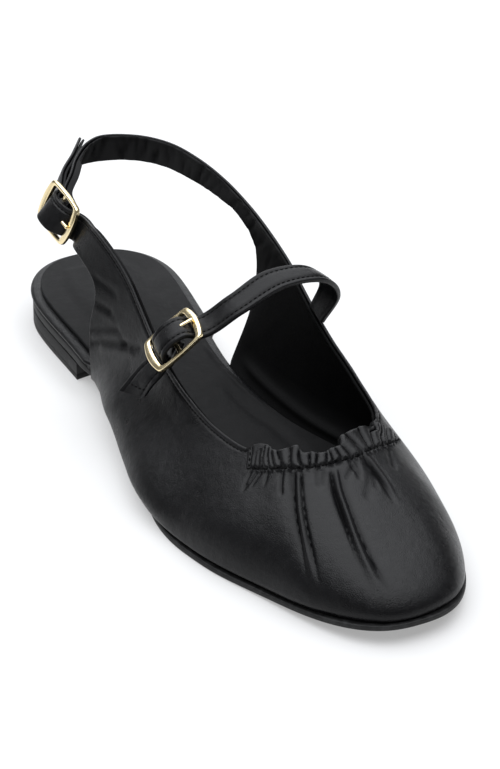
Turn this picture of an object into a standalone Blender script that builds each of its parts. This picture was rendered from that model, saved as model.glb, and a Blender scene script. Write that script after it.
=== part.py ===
"""Closed-toe slingback flat with an instep strap: a right shoe, standing empty on its sole.

The toe points along +X, the inner side of the foot is +Y and +Z is up. Lengths are metres.
Section tables are in percent: x of LENGTH from the back of the heel, y of BALL_WIDTH from the
shoe's axis (outer side negative), z of INSTEP_HEIGHT from the floor.
"""
import math
from collections import namedtuple

import bmesh
import bpy
import numpy as np

MM = 0.001

# Driving sizes
LENGTH = 250 * MM
BALL_WIDTH = 81 * MM
INSTEP_HEIGHT = 68 * MM
HEEL_HEIGHT = 6.8 * MM
SOLE_THICKNESS = 3.0 * MM
HEEL_SEAT_THICKNESS = 2.0 * MM
TOE_SPRING = 5.4 * MM
BOARD_THICKNESS = 4.2 * MM
BOARD_FRONT_THICKNESS = 2.0 * MM
SOCK_THICKNESS = 1.2 * MM
WALL = 1.6 * MM
STRAP_THICKNESS = 1.6 * MM
STRAP_WIDTH = 10 * MM
GAP = 0.3 * MM

# Where the sole changes along its length
HEEL_BREAST_X = 0.26 * LENGTH
ARCH_END_X = 0.60 * LENGTH
SPRING_START_X = 0.74 * LENGTH
HEEL_CAP_X = 0.12 * LENGTH
TOE_CAP_X = 0.82 * LENGTH
TOE_TIP_Y = 0.053 * BALL_WIDTH
HEEL_POWER = 2.5
TOE_POWER = 2.6
HEEL_INSET = 1.8 * MM
SOLE_LIP = 0.4 * MM
SOLE_EDGE = 0.5 * MM
BREAST_HOLLOW = 2.5 * MM

# Where the board narrows to fit inside the upper, and the sock's margin on it
WING_FOOT_X = 0.312 * LENGTH
BOARD_STEP_LENGTH = 5 * MM
BOARD_FRONT_INSET = WALL + 0.8 * MM
BOARD_TOE_INSET = 1.4 * MM
BOARD_EDGE_ROUND = 2.4 * MM
SOCK_MARGIN = 3.6 * MM
SOCK_FRONT_MARGIN = 1.0 * MM
SOCK_EDGE = 0.4 * MM

# Gathered band across the throat
BAND_WIDTH = 8 * MM
BAND_STEP = 0.7 * MM
BAND_SOFT = 2.0 * MM
BAND_FIRST_SECTION = 4
BAND_LAST_SECTION = 11

# Buckles
BUCKLE_LENGTH = 19 * MM
BUCKLE_WIDTH = 15 * MM
BUCKLE_BOW = 1.2 * MM
WIRE = 1.1 * MM
BAR = 0.8 * MM
PRONG = 0.6 * MM
PRONG_START_U = 2.4 * MM
PRONG_OVERHANG = 0.4 * MM
PRONG_TAPER = 0.75

# Mesh fineness
SIDE_CAP_STEPS = 10
SIDE_RUN_STEPS = 24
STATION_SPACING = 5.2 * MM
SECTION_STEPS = 13
SECTION_CROWDING = 1.5
STRAP_STEPS = 2
STRAP_SPACING = 3 * MM
CURVE_SAMPLES = 61
BREAST_STEPS = 10
BUCKLE_SIDE_STEPS = 7
TUBE_SIDES = 8
MERGE_DISTANCE = 0.01 * MM
SHARP_ANGLE = math.radians(40)

Finish = namedtuple("Finish", "colour roughness metallic")
LEATHER = Finish((0.012, 0.012, 0.014), 0.38, 0)
SOCK_LEATHER = Finish((0.025, 0.025, 0.027), 0.55, 0)
SOLE_RUBBER = Finish((0.010, 0.010, 0.011), 0.5, 0)
GOLD = Finish((0.83, 0.62, 0.25), 0.2, 1)

OutlineRow = namedtuple("OutlineRow", "x outer inner")
OUTLINE = (
    OutlineRow(0, 30.0, 32.5),
    OutlineRow(12, 34.5, 33.0),
    OutlineRow(25, 35.0, 28.0),
    OutlineRow(38, 37.0, 24.0),
    OutlineRow(50, 44.2, 29.6),
    OutlineRow(62, 52.0, 42.5),
    OutlineRow(74, 46.7, 52.0),
    OutlineRow(86, 33.5, 46.3),
    OutlineRow(100, 24.0, 37.5),
)

# Sections of the upper that stand on the sole, from the outer wing round the toe to the inner wing.
# foot: percent of the way from toe tip to heel back along that side of the outline, outer negative.
# rise and reach: handles of the section's curve in mm; flare and slope: their angles in degrees.
SectionRow = namedtuple("SectionRow", "foot x y z rise flare reach slope")
SECTIONS = (
    SectionRow(-66.0, 43.6, -24.5, 57.5, 10, 4, 10, 75),
    SectionRow(-57.5, 48.8, -25.8, 52.5, 11, 4, 9, 66),
    SectionRow(-48.5, 55.0, -26.0, 48.5, 11, 6, 9, 58),
    SectionRow(-39.5, 62.6, -24.5, 46.0, 11, 8, 10, 48),
    SectionRow(-30.8, 69.0, -20.5, 46.5, 12, 8, 12, 42),
    SectionRow(-21.5, 72.0, -14.2, 49.7, 12, 8, 16, 36),
    SectionRow(-12.0, 74.7, -7.5, 52.7, 12, 6, 19, 30),
    SectionRow(-3.0, 76.2, 0.4, 52.8, 12, 4, 22, 26),
    SectionRow(6.0, 75.9, 9.0, 53.0, 12, 4, 22, 26),
    SectionRow(14.0, 74.0, 17.9, 53.2, 12, 6, 22, 29),
    SectionRow(21.0, 72.4, 26.5, 51.8, 12, 8, 17, 36),
    SectionRow(28.0, 70.4, 35.2, 49.7, 12, 10, 12, 48),
    SectionRow(38.0, 62.0, 40.2, 53.0, 11, 14, 10, 66),
    SectionRow(48.7, 54.0, 41.4, 58.8, 11, 22, 10, 78),
    SectionRow(57.5, 48.4, 42.6, 64.0, 11, 28, 10, 84),
    SectionRow(62.8, 44.2, 43.8, 68.2, 11, 28, 10, 88),
)

# The board's rounded edge from its bottom up: part of its thickness, part of BOARD_EDGE_ROUND inwards.
BoardEdgeRow = namedtuple("BoardEdgeRow", "height inset")
BOARD_EDGE = (
    BoardEdgeRow(0, 0.3),
    BoardEdgeRow(0.25, 0),
    BoardEdgeRow(0.55, 0),
    BoardEdgeRow(0.85, 0.3),
    BoardEdgeRow(1, 1),
)

# Free sections of the upper: lower and upper edge of the wings and the sling strap.
EdgeRow = namedtuple("EdgeRow", "low_x low_y low_z top_x top_y top_z")
OUTER_TAIL = (
    EdgeRow(3.0, -4.6, 81.2, 3.6, -2.6, 95.4),
    EdgeRow(5.3, -12.0, 80.0, 5.9, -9.8, 94.2),
    EdgeRow(8.5, -20.0, 78.2, 9.2, -17.4, 92.4),
)
OUTER_WING = (
    EdgeRow(24.0, -33.3, 74.8, 26.8, -27.6, 89.4),
    EdgeRow(30.4, -32.4, 61.8, 34.4, -23.5, 75.7),
    EdgeRow(30.4, -35.2, 41.2, 39.0, -23.4, 65.0),
)
INNER_SLING = (
    EdgeRow(33.2, 38.9, 38.2, 39.6, 45.4, 72.5),
    EdgeRow(30.0, 45.7, 61.0, 33.6, 46.0, 77.6),
    EdgeRow(24.8, 45.1, 73.5, 26.8, 45.7, 82.6),
    EdgeRow(20.0, 41.7, 77.2, 21.2, 42.8, 88.2),
    EdgeRow(14.8, 36.5, 79.4, 15.2, 37.9, 92.4),
    EdgeRow(10.2, 30.2, 80.9, 10.4, 31.5, 94.6),
    EdgeRow(6.2, 19.5, 80.9, 6.4, 20.4, 95.3),
    EdgeRow(4.0, 5.3, 80.3, 4.3, 5.6, 94.9),
    EdgeRow(5.5, -3.6, 79.3, 5.9, -2.3, 93.7),
    EdgeRow(8.5, -13.8, 78.2, 9.0, -11.4, 92.4),
)

# The instep strap's rear and front edges, from the inner topline over the instep.
STRAP_OVER = (
    EdgeRow(47.9, 42.4, 65.4, 51.5, 41.8, 62.0),
    EdgeRow(49.8, 43.0, 82.0, 53.0, 46.5, 77.5),
    EdgeRow(52.2, 30.2, 99.0, 55.2, 36.4, 94.6),
    EdgeRow(52.3, 12.3, 100.9, 55.7, 17.3, 97.6),
    EdgeRow(52.0, -3.2, 91.5, 55.9, -2.5, 89.5),
)
STRAP_TAIL = (
    EdgeRow(48.0, -38.0, 53.5, 51.8, -36.6, 52.5),
    EdgeRow(46.6, -44.5, 40.2, 49.2, -36.5, 39.0),
)
TAB_ROOT = EdgeRow(54.4, -25.1, 49.4, 50.4, -25.2, 51.4)

# A buckle's centre in table percent, and which way it runs along the strap and faces out.
BuckleRow = namedtuple("BuckleRow", "x y z along outward")
SLING_BUCKLE = BuckleRow(17.6, -31.1, 83.0, (0.98, 0.04, -0.18), (0.10, -0.93, 0.36))
INSTEP_BUCKLE = BuckleRow(51.8, -26.9, 73.2, (0.19, 0.73, 0.66), (0.06, -0.68, 0.73))

UP = np.array((0.0, 0.0, 1.0))


def table_point(x, y, z):
    """A point of the section tables in metres."""
    return np.array((x * LENGTH, y * BALL_WIDTH, z * INSTEP_HEIGHT)) / 100


def unit(vector):
    return np.asarray(vector, float) / np.linalg.norm(vector)


def ramp(value, start, end):
    """Smooth step from 0 at start to 1 at end."""
    t = np.clip((value - start) / (end - start), 0, 1)
    return t * t * (3 - 2 * t)


def smooth(knots, values, at, corners=()):
    """Curve through the rows; at a corner row each side keeps its own direction."""
    knots = np.asarray(knots, float)
    at = np.asarray(at, float)
    values = np.asarray(values, float)
    flat = values.reshape(len(knots), -1)
    spans = np.diff(knots)[:, None]
    slopes = np.diff(flat, axis=0) / spans
    leaving = np.vstack((slopes, slopes[-1:]))
    arriving = np.vstack((slopes[:1], slopes))
    for row in range(1, len(knots) - 1):
        if row in corners:
            continue
        before, after = spans[row - 1], spans[row]
        tangent = (slopes[row - 1] * after + slopes[row] * before) / (before + after)
        leaving[row] = tangent
        arriving[row] = tangent
    piece = np.clip(np.searchsorted(knots, at, side="right") - 1, 0, len(knots) - 2)
    span = spans[piece]
    t = (at[:, None] - knots[piece][:, None]) / span
    curve = (
        (1 + 2 * t) * (1 - t) ** 2 * flat[piece]
        + t * (1 - t) ** 2 * span * leaving[piece]
        + t * t * (3 - 2 * t) * flat[piece + 1]
        + t * t * (t - 1) * span * arriving[piece + 1]
    )
    return curve.reshape((len(at),) + values.shape[1:])


def sole_bottom(x):
    """Height of the outsole's underside: heel seat, arch, flat forefoot and toe spring."""
    arch = HEEL_HEIGHT * (1 - ramp(x, HEEL_BREAST_X, ARCH_END_X))
    rise = np.clip((x - SPRING_START_X) / (LENGTH - SPRING_START_X), 0, 1)
    return arch + TOE_SPRING * rise ** 2


def sole_top(x):
    thinning = SOLE_THICKNESS - HEEL_SEAT_THICKNESS
    return sole_bottom(x) + SOLE_THICKNESS - thinning * (1 - ramp(x, HEEL_BREAST_X, ARCH_END_X))


def board_top(x):
    thinning = BOARD_THICKNESS - BOARD_FRONT_THICKNESS
    thickness = BOARD_THICKNESS - thinning * ramp(x, WING_FOOT_X, ARCH_END_X)
    return sole_top(x) + GAP + thickness


def outline_side(widths, side):
    """Points from the toe tip to the heel back along one side of the sole."""
    rows_x = [row.x / 100 * LENGTH for row in OUTLINE]
    rows_y = [width / 100 * BALL_WIDTH for width in widths]

    def half_width(x):
        return smooth(rows_x, rows_y, x)

    tip = side * TOE_TIP_Y
    turn = np.linspace(math.pi / 2, 0, SIDE_CAP_STEPS + 1)
    toe_x = TOE_CAP_X + (LENGTH - TOE_CAP_X) * np.sin(turn) ** (2 / TOE_POWER)
    toe_y = tip + (half_width(toe_x) - tip) * np.cos(turn) ** (2 / TOE_POWER)
    run_x = np.linspace(TOE_CAP_X, HEEL_CAP_X, SIDE_RUN_STEPS + 1)[1:-1]
    heel_x = HEEL_CAP_X * (1 - np.sin(turn[::-1]) ** (2 / HEEL_POWER))
    heel_y = half_width(heel_x) * np.cos(turn[::-1]) ** (2 / HEEL_POWER)
    x = np.concatenate((toe_x, run_x, heel_x))
    y = np.concatenate((toe_y, half_width(run_x), heel_y))
    return np.column_stack((x, side * y))


def outline_normals(outer, inner):
    """Outward normals of both sides, which run from toe tip to heel back."""
    loop = np.vstack((outer, inner[-2:0:-1]))
    tangent = np.roll(loop, -1, axis=0) - np.roll(loop, 1, axis=0)
    normal = np.column_stack((tangent[:, 1], -tangent[:, 0]))
    normal /= -np.linalg.norm(normal, axis=1)[:, None]
    count = len(outer)
    inner_normal = np.vstack((normal[:1], normal[:count - 2:-1]))
    return normal[:count], inner_normal


OUTER_SIDE = outline_side([row.outer for row in OUTLINE], -1)
INNER_SIDE = outline_side([row.inner for row in OUTLINE], 1)
OUTER_NORMAL, INNER_NORMAL = outline_normals(OUTER_SIDE, INNER_SIDE)


def feather(foot):
    """Point and outward normal on the sole's outline, from a section row's foot value."""
    side, normals = (OUTER_SIDE, OUTER_NORMAL) if foot < 0 else (INNER_SIDE, INNER_NORMAL)
    steps = np.linalg.norm(np.diff(side, axis=0), axis=1)
    along = np.concatenate(((0,), np.cumsum(steps)))
    target = abs(foot) / 100 * along[-1]
    point = [np.interp(target, along, side[:, axis]) for axis in (0, 1)]
    normal = [np.interp(target, along, normals[:, axis]) for axis in (0, 1)]
    x, y = point
    return np.array((x, y, sole_top(x) + GAP)), unit((*normal, 0))


def section_controls(row):
    """Four control points of a section that stands on the sole."""
    foot, outward = feather(row.foot)
    top = table_point(row.x, row.y, row.z)
    flare = math.radians(row.flare)
    slope = math.radians(row.slope)
    low_handle = foot + row.rise * MM * (math.sin(flare) * outward + math.cos(flare) * UP)
    top_handle = top + row.reach * MM * (math.cos(slope) * outward - math.sin(slope) * UP)
    return np.array((foot, low_handle, top_handle, top))


def straight_controls(low, top):
    """Four control points of a flat strip's section."""
    return np.array([low + (top - low) * part for part in (0, 1 / 3, 2 / 3, 1)])


def edge_controls(row):
    low = table_point(row.low_x, row.low_y, row.low_z)
    top = table_point(row.top_x, row.top_y, row.top_z)
    return straight_controls(low, top)


class BucklePlace:
    """The plane of a buckle: u runs along the strap, w across it, n out of the shoe."""

    def __init__(self, row):
        self.centre = table_point(row.x, row.y, row.z)
        self.along = unit(row.along)
        outward = np.array(row.outward) - np.dot(row.outward, self.along) * self.along
        self.outward = unit(outward)
        self.across = np.cross(self.outward, self.along)

    def at(self, u, w, n):
        return self.centre + u * self.along + w * self.across + n * self.outward

    def strip(self, u, n):
        """Section of a strap that crosses the buckle at u with its outer face at n."""
        half = STRAP_WIDTH / 2
        return straight_controls(self.at(u, -half, n), self.at(u, half, n))


# Heights of a strap's outer face in its buckle: under the end bars, over the centre bar
UNDER_END_BAR = -(WIRE + 3 * GAP)
OVER_CENTRE_BAR = BAR + GAP + STRAP_THICKNESS
UNDER_CENTRE_BAR = -(BAR + GAP)
UNDER_STRAP = UNDER_END_BAR - STRAP_THICKNESS - 2 * GAP
END_BAR_U = BUCKLE_LENGTH / 2 - WIRE
BEHIND_BAR_U = END_BAR_U + 4 * MM
BEHIND_BAR_DROP = 1.2 * MM
CHAPE_END_U = 1.5 * MM

SLING_PLACE = BucklePlace(SLING_BUCKLE)
INSTEP_PLACE = BucklePlace(INSTEP_BUCKLE)


def upper_controls():
    """Every section of the upper: sling tail, outer wing, quarters and vamp, inner wing, sling."""
    rows = [edge_controls(row) for row in OUTER_TAIL]
    rows.append(SLING_PLACE.strip(-BEHIND_BAR_U, UNDER_END_BAR - BEHIND_BAR_DROP))
    rows.append(SLING_PLACE.strip(-END_BAR_U, UNDER_END_BAR))
    rows.append(SLING_PLACE.strip(0, OVER_CENTRE_BAR))
    rows.append(SLING_PLACE.strip(END_BAR_U, UNDER_END_BAR))
    rows += [edge_controls(row) for row in OUTER_WING]
    first_foot = len(rows)
    rows += [section_controls(row) for row in SECTIONS]
    last_foot = len(rows) - 1
    rows += [edge_controls(row) for row in INNER_SLING]
    rows.append(SLING_PLACE.strip(-BEHIND_BAR_U, UNDER_STRAP - 2 * BEHIND_BAR_DROP))
    rows.append(SLING_PLACE.strip(-END_BAR_U, UNDER_STRAP))
    rows.append(SLING_PLACE.strip(CHAPE_END_U, UNDER_CENTRE_BAR))
    return np.array(rows), (first_foot, last_foot)


def row_knots(controls):
    """Distance along the strip at each row, averaged over the section."""
    steps = np.linalg.norm(np.diff(controls, axis=0), axis=2).mean(axis=1)
    return np.concatenate(((0,), np.cumsum(steps)))


def stations(knots, spacing):
    """Places along the strip, with every row kept."""
    places = [knots[:1]]
    for start, end in zip(knots[:-1], knots[1:]):
        count = max(2, round((end - start) / spacing))
        places.append(np.linspace(start, end, count + 1)[1:])
    return np.concatenate(places)


def sections_along(controls, knots, places, corners):
    """Control points at each place; only the lower edge turns sharply at the corner rows."""
    low = smooth(knots, controls[:, :2], places, corners)
    top = smooth(knots, controls[:, 2:], places)
    return np.concatenate((low, top), axis=1)


def section_points(controls, steps, crowding):
    """Points up each section, evenly by length and crowded towards the top edge."""
    fine = np.linspace(0, 1, CURVE_SAMPLES)
    weights = np.column_stack(
        ((1 - fine) ** 3, 3 * fine * (1 - fine) ** 2, 3 * fine ** 2 * (1 - fine), fine ** 3)
    )
    curves = np.einsum("fk,skd->sfd", weights, controls)
    parts = 1 - (1 - np.linspace(0, 1, steps + 1)) ** crowding
    grid = np.empty((len(controls), steps + 1, 3))
    below_top = np.empty((len(controls), steps + 1))
    for index, curve in enumerate(curves):
        lengths = np.linalg.norm(np.diff(curve, axis=0), axis=1)
        along = np.concatenate(((0,), np.cumsum(lengths)))
        for axis in range(3):
            grid[index, :, axis] = np.interp(parts * along[-1], along, curve[:, axis])
        below_top[index] = (1 - parts) * along[-1]
    return grid, below_top


def grid_normals(grid):
    """Outward normals of a grid of sections."""
    normal = np.cross(np.gradient(grid, axis=0), np.gradient(grid, axis=1))
    return normal / np.linalg.norm(normal, axis=2)[:, :, None]


def band_height(places, start, end, below_top):
    """Step of the gathered band above the rest of the wall."""
    ends = ramp(places, start - BAND_SOFT, start) * (1 - ramp(places, end, end + BAND_SOFT))
    body = 1 - ramp(below_top, BAND_WIDTH, BAND_WIDTH + BAND_SOFT)
    return BAND_STEP * ends[:, None] * body


def add_object(name, vertices, faces, finish):
    """A closed mesh with its faces out, smooth but for its sharp edges, and its own material."""
    mesh = bpy.data.meshes.new(name)
    mesh.from_pydata([tuple(map(float, point)) for point in vertices], [], faces)
    work = bmesh.new()
    work.from_mesh(mesh)
    bmesh.ops.remove_doubles(work, verts=work.verts, dist=MERGE_DISTANCE)
    bmesh.ops.recalc_face_normals(work, faces=work.faces)
    work.to_mesh(mesh)
    work.free()
    mesh.shade_smooth()
    mesh.set_sharp_from_angle(angle=SHARP_ANGLE)
    thing = bpy.data.objects.new(name, mesh)
    bpy.context.scene.collection.objects.link(thing)
    material = bpy.data.materials.new(name)
    material.use_nodes = True
    surface = material.node_tree.nodes["Principled BSDF"]
    surface.inputs["Base Color"].default_value = (*finish.colour, 1)
    surface.inputs["Roughness"].default_value = finish.roughness
    surface.inputs["Metallic"].default_value = finish.metallic
    mesh.materials.append(material)
    return thing


def quads_between(first, second):
    """Faces between two rows of vertex numbers."""
    return [
        (a, b, c, d)
        for a, b, c, d in zip(first[:-1], first[1:], second[1:], second[:-1])
    ]


def add_shell(name, outside, inside, finish):
    """A solid between two grids of the same size, closed by rims."""
    rows, columns = outside.shape[:2]
    vertices = np.concatenate((outside.reshape(-1, 3), inside.reshape(-1, 3)))
    out = np.arange(rows * columns).reshape(rows, columns)
    within = out + rows * columns
    faces = []
    for sheet in (out, within):
        for row in range(rows - 1):
            faces += quads_between(sheet[row], sheet[row + 1])
    rims = ((out[:, 0], within[:, 0]), (out[:, -1], within[:, -1]))
    ends = ((out[0], within[0]), (out[-1], within[-1]))
    for first, second in rims + ends:
        faces += quads_between(first, second)
    return add_object(name, vertices, faces, finish)


def build_upper():
    controls, corners = upper_controls()
    knots = row_knots(controls)
    places = stations(knots, STATION_SPACING)
    sections = sections_along(controls, knots, places, corners)
    base, below_top = section_points(sections, SECTION_STEPS, SECTION_CROWDING)
    normal = grid_normals(base)
    inside = base - WALL * normal
    on_sole = (places >= knots[corners[0]]) & (places <= knots[corners[1]])
    inside[on_sole, 0, 2] = base[on_sole, 0, 2]
    band_start = knots[corners[0] + BAND_FIRST_SECTION]
    band_end = knots[corners[0] + BAND_LAST_SECTION]
    step = band_height(places, band_start, band_end, below_top)
    outside = base + step[:, :, None] * normal
    return add_shell("upper", outside, inside, LEATHER)


def build_strip(name, rows):
    """A flat strap of even thickness through its sections."""
    controls = np.array(rows)
    knots = row_knots(controls)
    places = stations(knots, STRAP_SPACING)
    sections = sections_along(controls, knots, places, ())
    face, _ = section_points(sections, STRAP_STEPS, 1)
    return add_shell(name, face, face - STRAP_THICKNESS * grid_normals(face), LEATHER)


def build_instep_strap():
    rows = [edge_controls(row) for row in STRAP_OVER]
    rows.append(INSTEP_PLACE.strip(END_BAR_U, UNDER_END_BAR)[::-1])
    rows.append(INSTEP_PLACE.strip(0, OVER_CENTRE_BAR)[::-1])
    rows.append(INSTEP_PLACE.strip(-END_BAR_U, UNDER_END_BAR)[::-1])
    rows += [edge_controls(row) for row in STRAP_TAIL]
    return build_strip("instep_strap", rows)


def build_instep_tab():
    rows = [edge_controls(TAB_ROOT)]
    rows.append(INSTEP_PLACE.strip(-END_BAR_U / 2, UNDER_STRAP))
    rows.append(INSTEP_PLACE.strip(CHAPE_END_U, UNDER_CENTRE_BAR))
    return build_strip("instep_tab", rows)


def sole_ring(inset, height):
    """Loop of points inside the outline; inset and height are functions of x or plain numbers."""
    points = []
    for side, normals in ((OUTER_SIDE, OUTER_NORMAL), (INNER_SIDE[::-1], INNER_NORMAL[::-1])):
        depth = inset(side[:, 0]) if callable(inset) else inset
        flat = side - normals * np.broadcast_to(depth, len(side))[:, None]
        points.append(np.column_stack((flat, height(flat[:, 0]))))
    outer, inner = points
    return np.vstack((outer, inner[1:-1]))


def add_sole_layer(name, rings, finish):
    """A solid skinned through loops from bottom to top, each end closed straight across."""
    count = len(rings[0])
    half = count // 2
    numbers = np.arange(count * len(rings)).reshape(len(rings), count)
    faces = []
    for lower, upper in zip(numbers[:-1], numbers[1:]):
        faces += quads_between(np.append(lower, lower[0]), np.append(upper, upper[0]))
    for loop in (numbers[0], numbers[-1]):
        outer = loop[:half + 1]
        inner = np.concatenate((loop[:1], loop[:half - 1:-1]))
        faces.append((outer[0], outer[1], inner[1]))
        faces += quads_between(outer[1:-1], inner[1:-1])
        faces.append((outer[-2], outer[-1], inner[-2]))
    return add_object(name, np.vstack(rings), faces, finish)


def sole_inset(x):
    """How far the sole stands in under the board at the open heel, or out from the upper in front."""
    return HEEL_INSET - (HEEL_INSET + SOLE_LIP) * ramp(x, HEEL_BREAST_X, WING_FOOT_X)


def build_outsole():
    def edge_inset(x):
        return sole_inset(x) + SOLE_EDGE

    rings = [
        sole_ring(edge_inset, sole_bottom),
        sole_ring(sole_inset, lambda x: sole_bottom(x) + SOLE_EDGE),
        sole_ring(sole_inset, lambda x: sole_top(x) - SOLE_EDGE),
        sole_ring(edge_inset, sole_top),
    ]
    return add_sole_layer("outsole", rings, SOLE_RUBBER)


def board_inset(x):
    """The board is full width at the open heel and fits inside the upper's wall in front."""
    front = BOARD_FRONT_INSET * ramp(x, WING_FOOT_X - BOARD_STEP_LENGTH, WING_FOOT_X)
    return front + BOARD_TOE_INSET * ramp(x, TOE_CAP_X, LENGTH)


def build_insole_board():
    """The wrapped board: its round edge is skinned through the rows of BOARD_EDGE."""
    def edge_ring(row):
        def height(x):
            bottom = sole_top(x) + GAP
            return bottom + row.height * (board_top(x) - bottom)

        return sole_ring(lambda x: board_inset(x) + row.inset * BOARD_EDGE_ROUND, height)

    return add_sole_layer("insole_board", [edge_ring(row) for row in BOARD_EDGE], LEATHER)


def sock_inset(x):
    """The sock leaves a margin on the board at the heel and nearly fills it in front."""
    margin = SOCK_MARGIN + (SOCK_FRONT_MARGIN - SOCK_MARGIN) * ramp(x, WING_FOOT_X, ARCH_END_X)
    return board_inset(x) + margin


def build_insole():
    def bottom(x):
        return board_top(x) + GAP

    rings = [
        sole_ring(sock_inset, bottom),
        sole_ring(sock_inset, lambda x: bottom(x) + SOCK_THICKNESS - SOCK_EDGE),
        sole_ring(lambda x: sock_inset(x) + SOCK_EDGE, lambda x: bottom(x) + SOCK_THICKNESS),
    ]
    return add_sole_layer("insole", rings, SOCK_LEATHER)


def build_heel_lift():
    """Low block under the heel seat, its front face slightly hollow."""
    heel = OUTER_SIDE[:, 0] < HEEL_BREAST_X - 2 * BREAST_HOLLOW
    outer = (OUTER_SIDE - OUTER_NORMAL * HEEL_INSET)[heel]
    inner = (INNER_SIDE - INNER_NORMAL * HEEL_INSET)[heel]
    part = np.linspace(0, 1, BREAST_STEPS + 1)[1:-1, None]
    front_outer = np.array((HEEL_BREAST_X, outer[0, 1]))
    front_inner = np.array((HEEL_BREAST_X, inner[0, 1]))
    breast = front_inner + (front_outer - front_inner) * part
    breast[:, 0] -= BREAST_HOLLOW * np.sin(math.pi * part[:, 0])
    loop = np.vstack((front_outer[None], outer, inner[-2::-1], front_inner[None], breast))
    middle = np.array((HEEL_BREAST_X / 2, 0))
    rings = []
    for height, shrink in ((0, SOLE_EDGE), (SOLE_EDGE, 0), (HEEL_HEIGHT - GAP, 0)):
        inward = unit_rows(middle - loop) * shrink
        rings.append(np.column_stack((loop + inward, np.full(len(loop), height))))
    count = len(loop)
    numbers = np.arange(count * len(rings)).reshape(len(rings), count)
    faces = [tuple(numbers[0]), tuple(numbers[-1])]
    for lower, upper in zip(numbers[:-1], numbers[1:]):
        faces += quads_between(np.append(lower, lower[0]), np.append(upper, upper[0]))
    return add_object("heel_lift", np.vstack(rings), faces, SOLE_RUBBER)


def unit_rows(vectors):
    return vectors / np.linalg.norm(vectors, axis=1)[:, None]


def buckle_path():
    """Middle line of the frame in its plane: four bowed sides between the corners."""
    half_u = BUCKLE_LENGTH / 2 - WIRE
    half_w = BUCKLE_WIDTH / 2 - WIRE
    corners = np.array(((-1, -1), (1, -1), (1, 1), (-1, 1))) * (half_u, half_w)
    points = []
    for start, end in zip(corners, np.roll(corners, -1, axis=0)):
        outward = unit((start + end) / 2)
        for part in np.linspace(0, 1, BUCKLE_SIDE_STEPS + 1)[:-1]:
            bow = BUCKLE_BOW * math.sin(math.pi * part)
            points.append(start + (end - start) * part + outward * (bow - BUCKLE_BOW / 2))
    return np.array(points)


def tube(points, radii, normal, closed):
    """Vertices and faces of a round tube along points whose bends lie in one plane."""
    points = np.asarray(points, float)
    if closed:
        tangent = np.roll(points, -1, axis=0) - np.roll(points, 1, axis=0)
    else:
        tangent = np.gradient(points, axis=0)
    side = unit_rows(np.cross(unit_rows(tangent), normal))
    angles = np.arange(TUBE_SIDES) * 2 * math.pi / TUBE_SIDES
    radii = np.broadcast_to(radii, len(points))
    rings = [
        points + (side * math.cos(a) + np.asarray(normal) * math.sin(a)) * radii[:, None]
        for a in angles
    ]
    vertices = np.stack(rings, axis=1)
    numbers = np.arange(len(points) * TUBE_SIDES).reshape(len(points), TUBE_SIDES)
    loops = np.vstack((numbers, numbers[:1])) if closed else numbers
    faces = []
    for lower, upper in zip(loops[:-1], loops[1:]):
        faces += quads_between(np.append(lower, lower[0]), np.append(upper, upper[0]))
    if not closed:
        faces += [tuple(numbers[0]), tuple(numbers[-1])]
    return vertices.reshape(-1, 3), faces


def build_buckle(name, place):
    """Bowed frame with its centre bar, one solid."""
    path = np.array([place.at(u, w, 0) for u, w in buckle_path()])
    frame = add_object(name, *tube(path, WIRE, place.outward, True), GOLD)
    reach = BUCKLE_WIDTH / 2 - WIRE + BUCKLE_BOW / 2
    ends = [place.at(0, -reach, 0), place.at(0, reach, 0)]
    bar = add_object(name + "_bar_cutter", *tube(ends, BAR, place.outward, False), GOLD)
    bar.hide_render = True
    bar.display_type = "WIRE"
    union = frame.modifiers.new("bar", "BOOLEAN")
    union.operation = "UNION"
    union.object = bar
    return frame


def build_prong(name, place, direction):
    """Pin from above the centre bar over the strap to its end bar."""
    start = place.at(direction * PRONG_START_U, 0, OVER_CENTRE_BAR + GAP + PRONG)
    end = place.at(direction * (BUCKLE_LENGTH / 2 + PRONG_OVERHANG), 0, WIRE + GAP + PRONG)
    points = [start, (start + end) / 2, end]
    radii = (PRONG, PRONG, PRONG_TAPER * PRONG)
    return add_object(name, *tube(points, radii, place.across, False), GOLD)


def stand_on_origin():
    """Move every piece so that the origin is under the middle of the whole shoe's box."""
    corners = np.concatenate([
        np.array([vertex.co for vertex in thing.data.vertices]) for thing in bpy.data.objects
    ])
    low, high = corners.min(axis=0), corners.max(axis=0)
    for thing in bpy.data.objects:
        thing.location = (-(low[0] + high[0]) / 2, -(low[1] + high[1]) / 2, -low[2])


def main():
    for thing in list(bpy.data.objects):
        bpy.data.objects.remove(thing)
    build_outsole()
    build_heel_lift()
    build_insole_board()
    build_insole()
    build_upper()
    build_instep_strap()
    build_instep_tab()
    build_buckle("sling_buckle", SLING_PLACE)
    build_prong("sling_prong", SLING_PLACE, 1)
    build_buckle("instep_buckle", INSTEP_PLACE)
    build_prong("instep_prong", INSTEP_PLACE, 1)
    stand_on_origin()


main()
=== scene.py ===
"""Looks of a closed-toe slingback flat with an instep strap: a right shoe, standing empty on its sole.

The toe points along +X, the inner side of the foot is +Y and +Z is up. Lengths are metres.
Shapes are worked out with x = 0 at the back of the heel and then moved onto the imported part.
Section tables are in percent: x of LENGTH from the back of the heel, y of BALL_WIDTH from the
shoe's axis (outer side negative), z of INSTEP_HEIGHT from the floor.
"""

import math
from collections import namedtuple

import bmesh
import bpy
import numpy as np
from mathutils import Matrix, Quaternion, Vector


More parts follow.
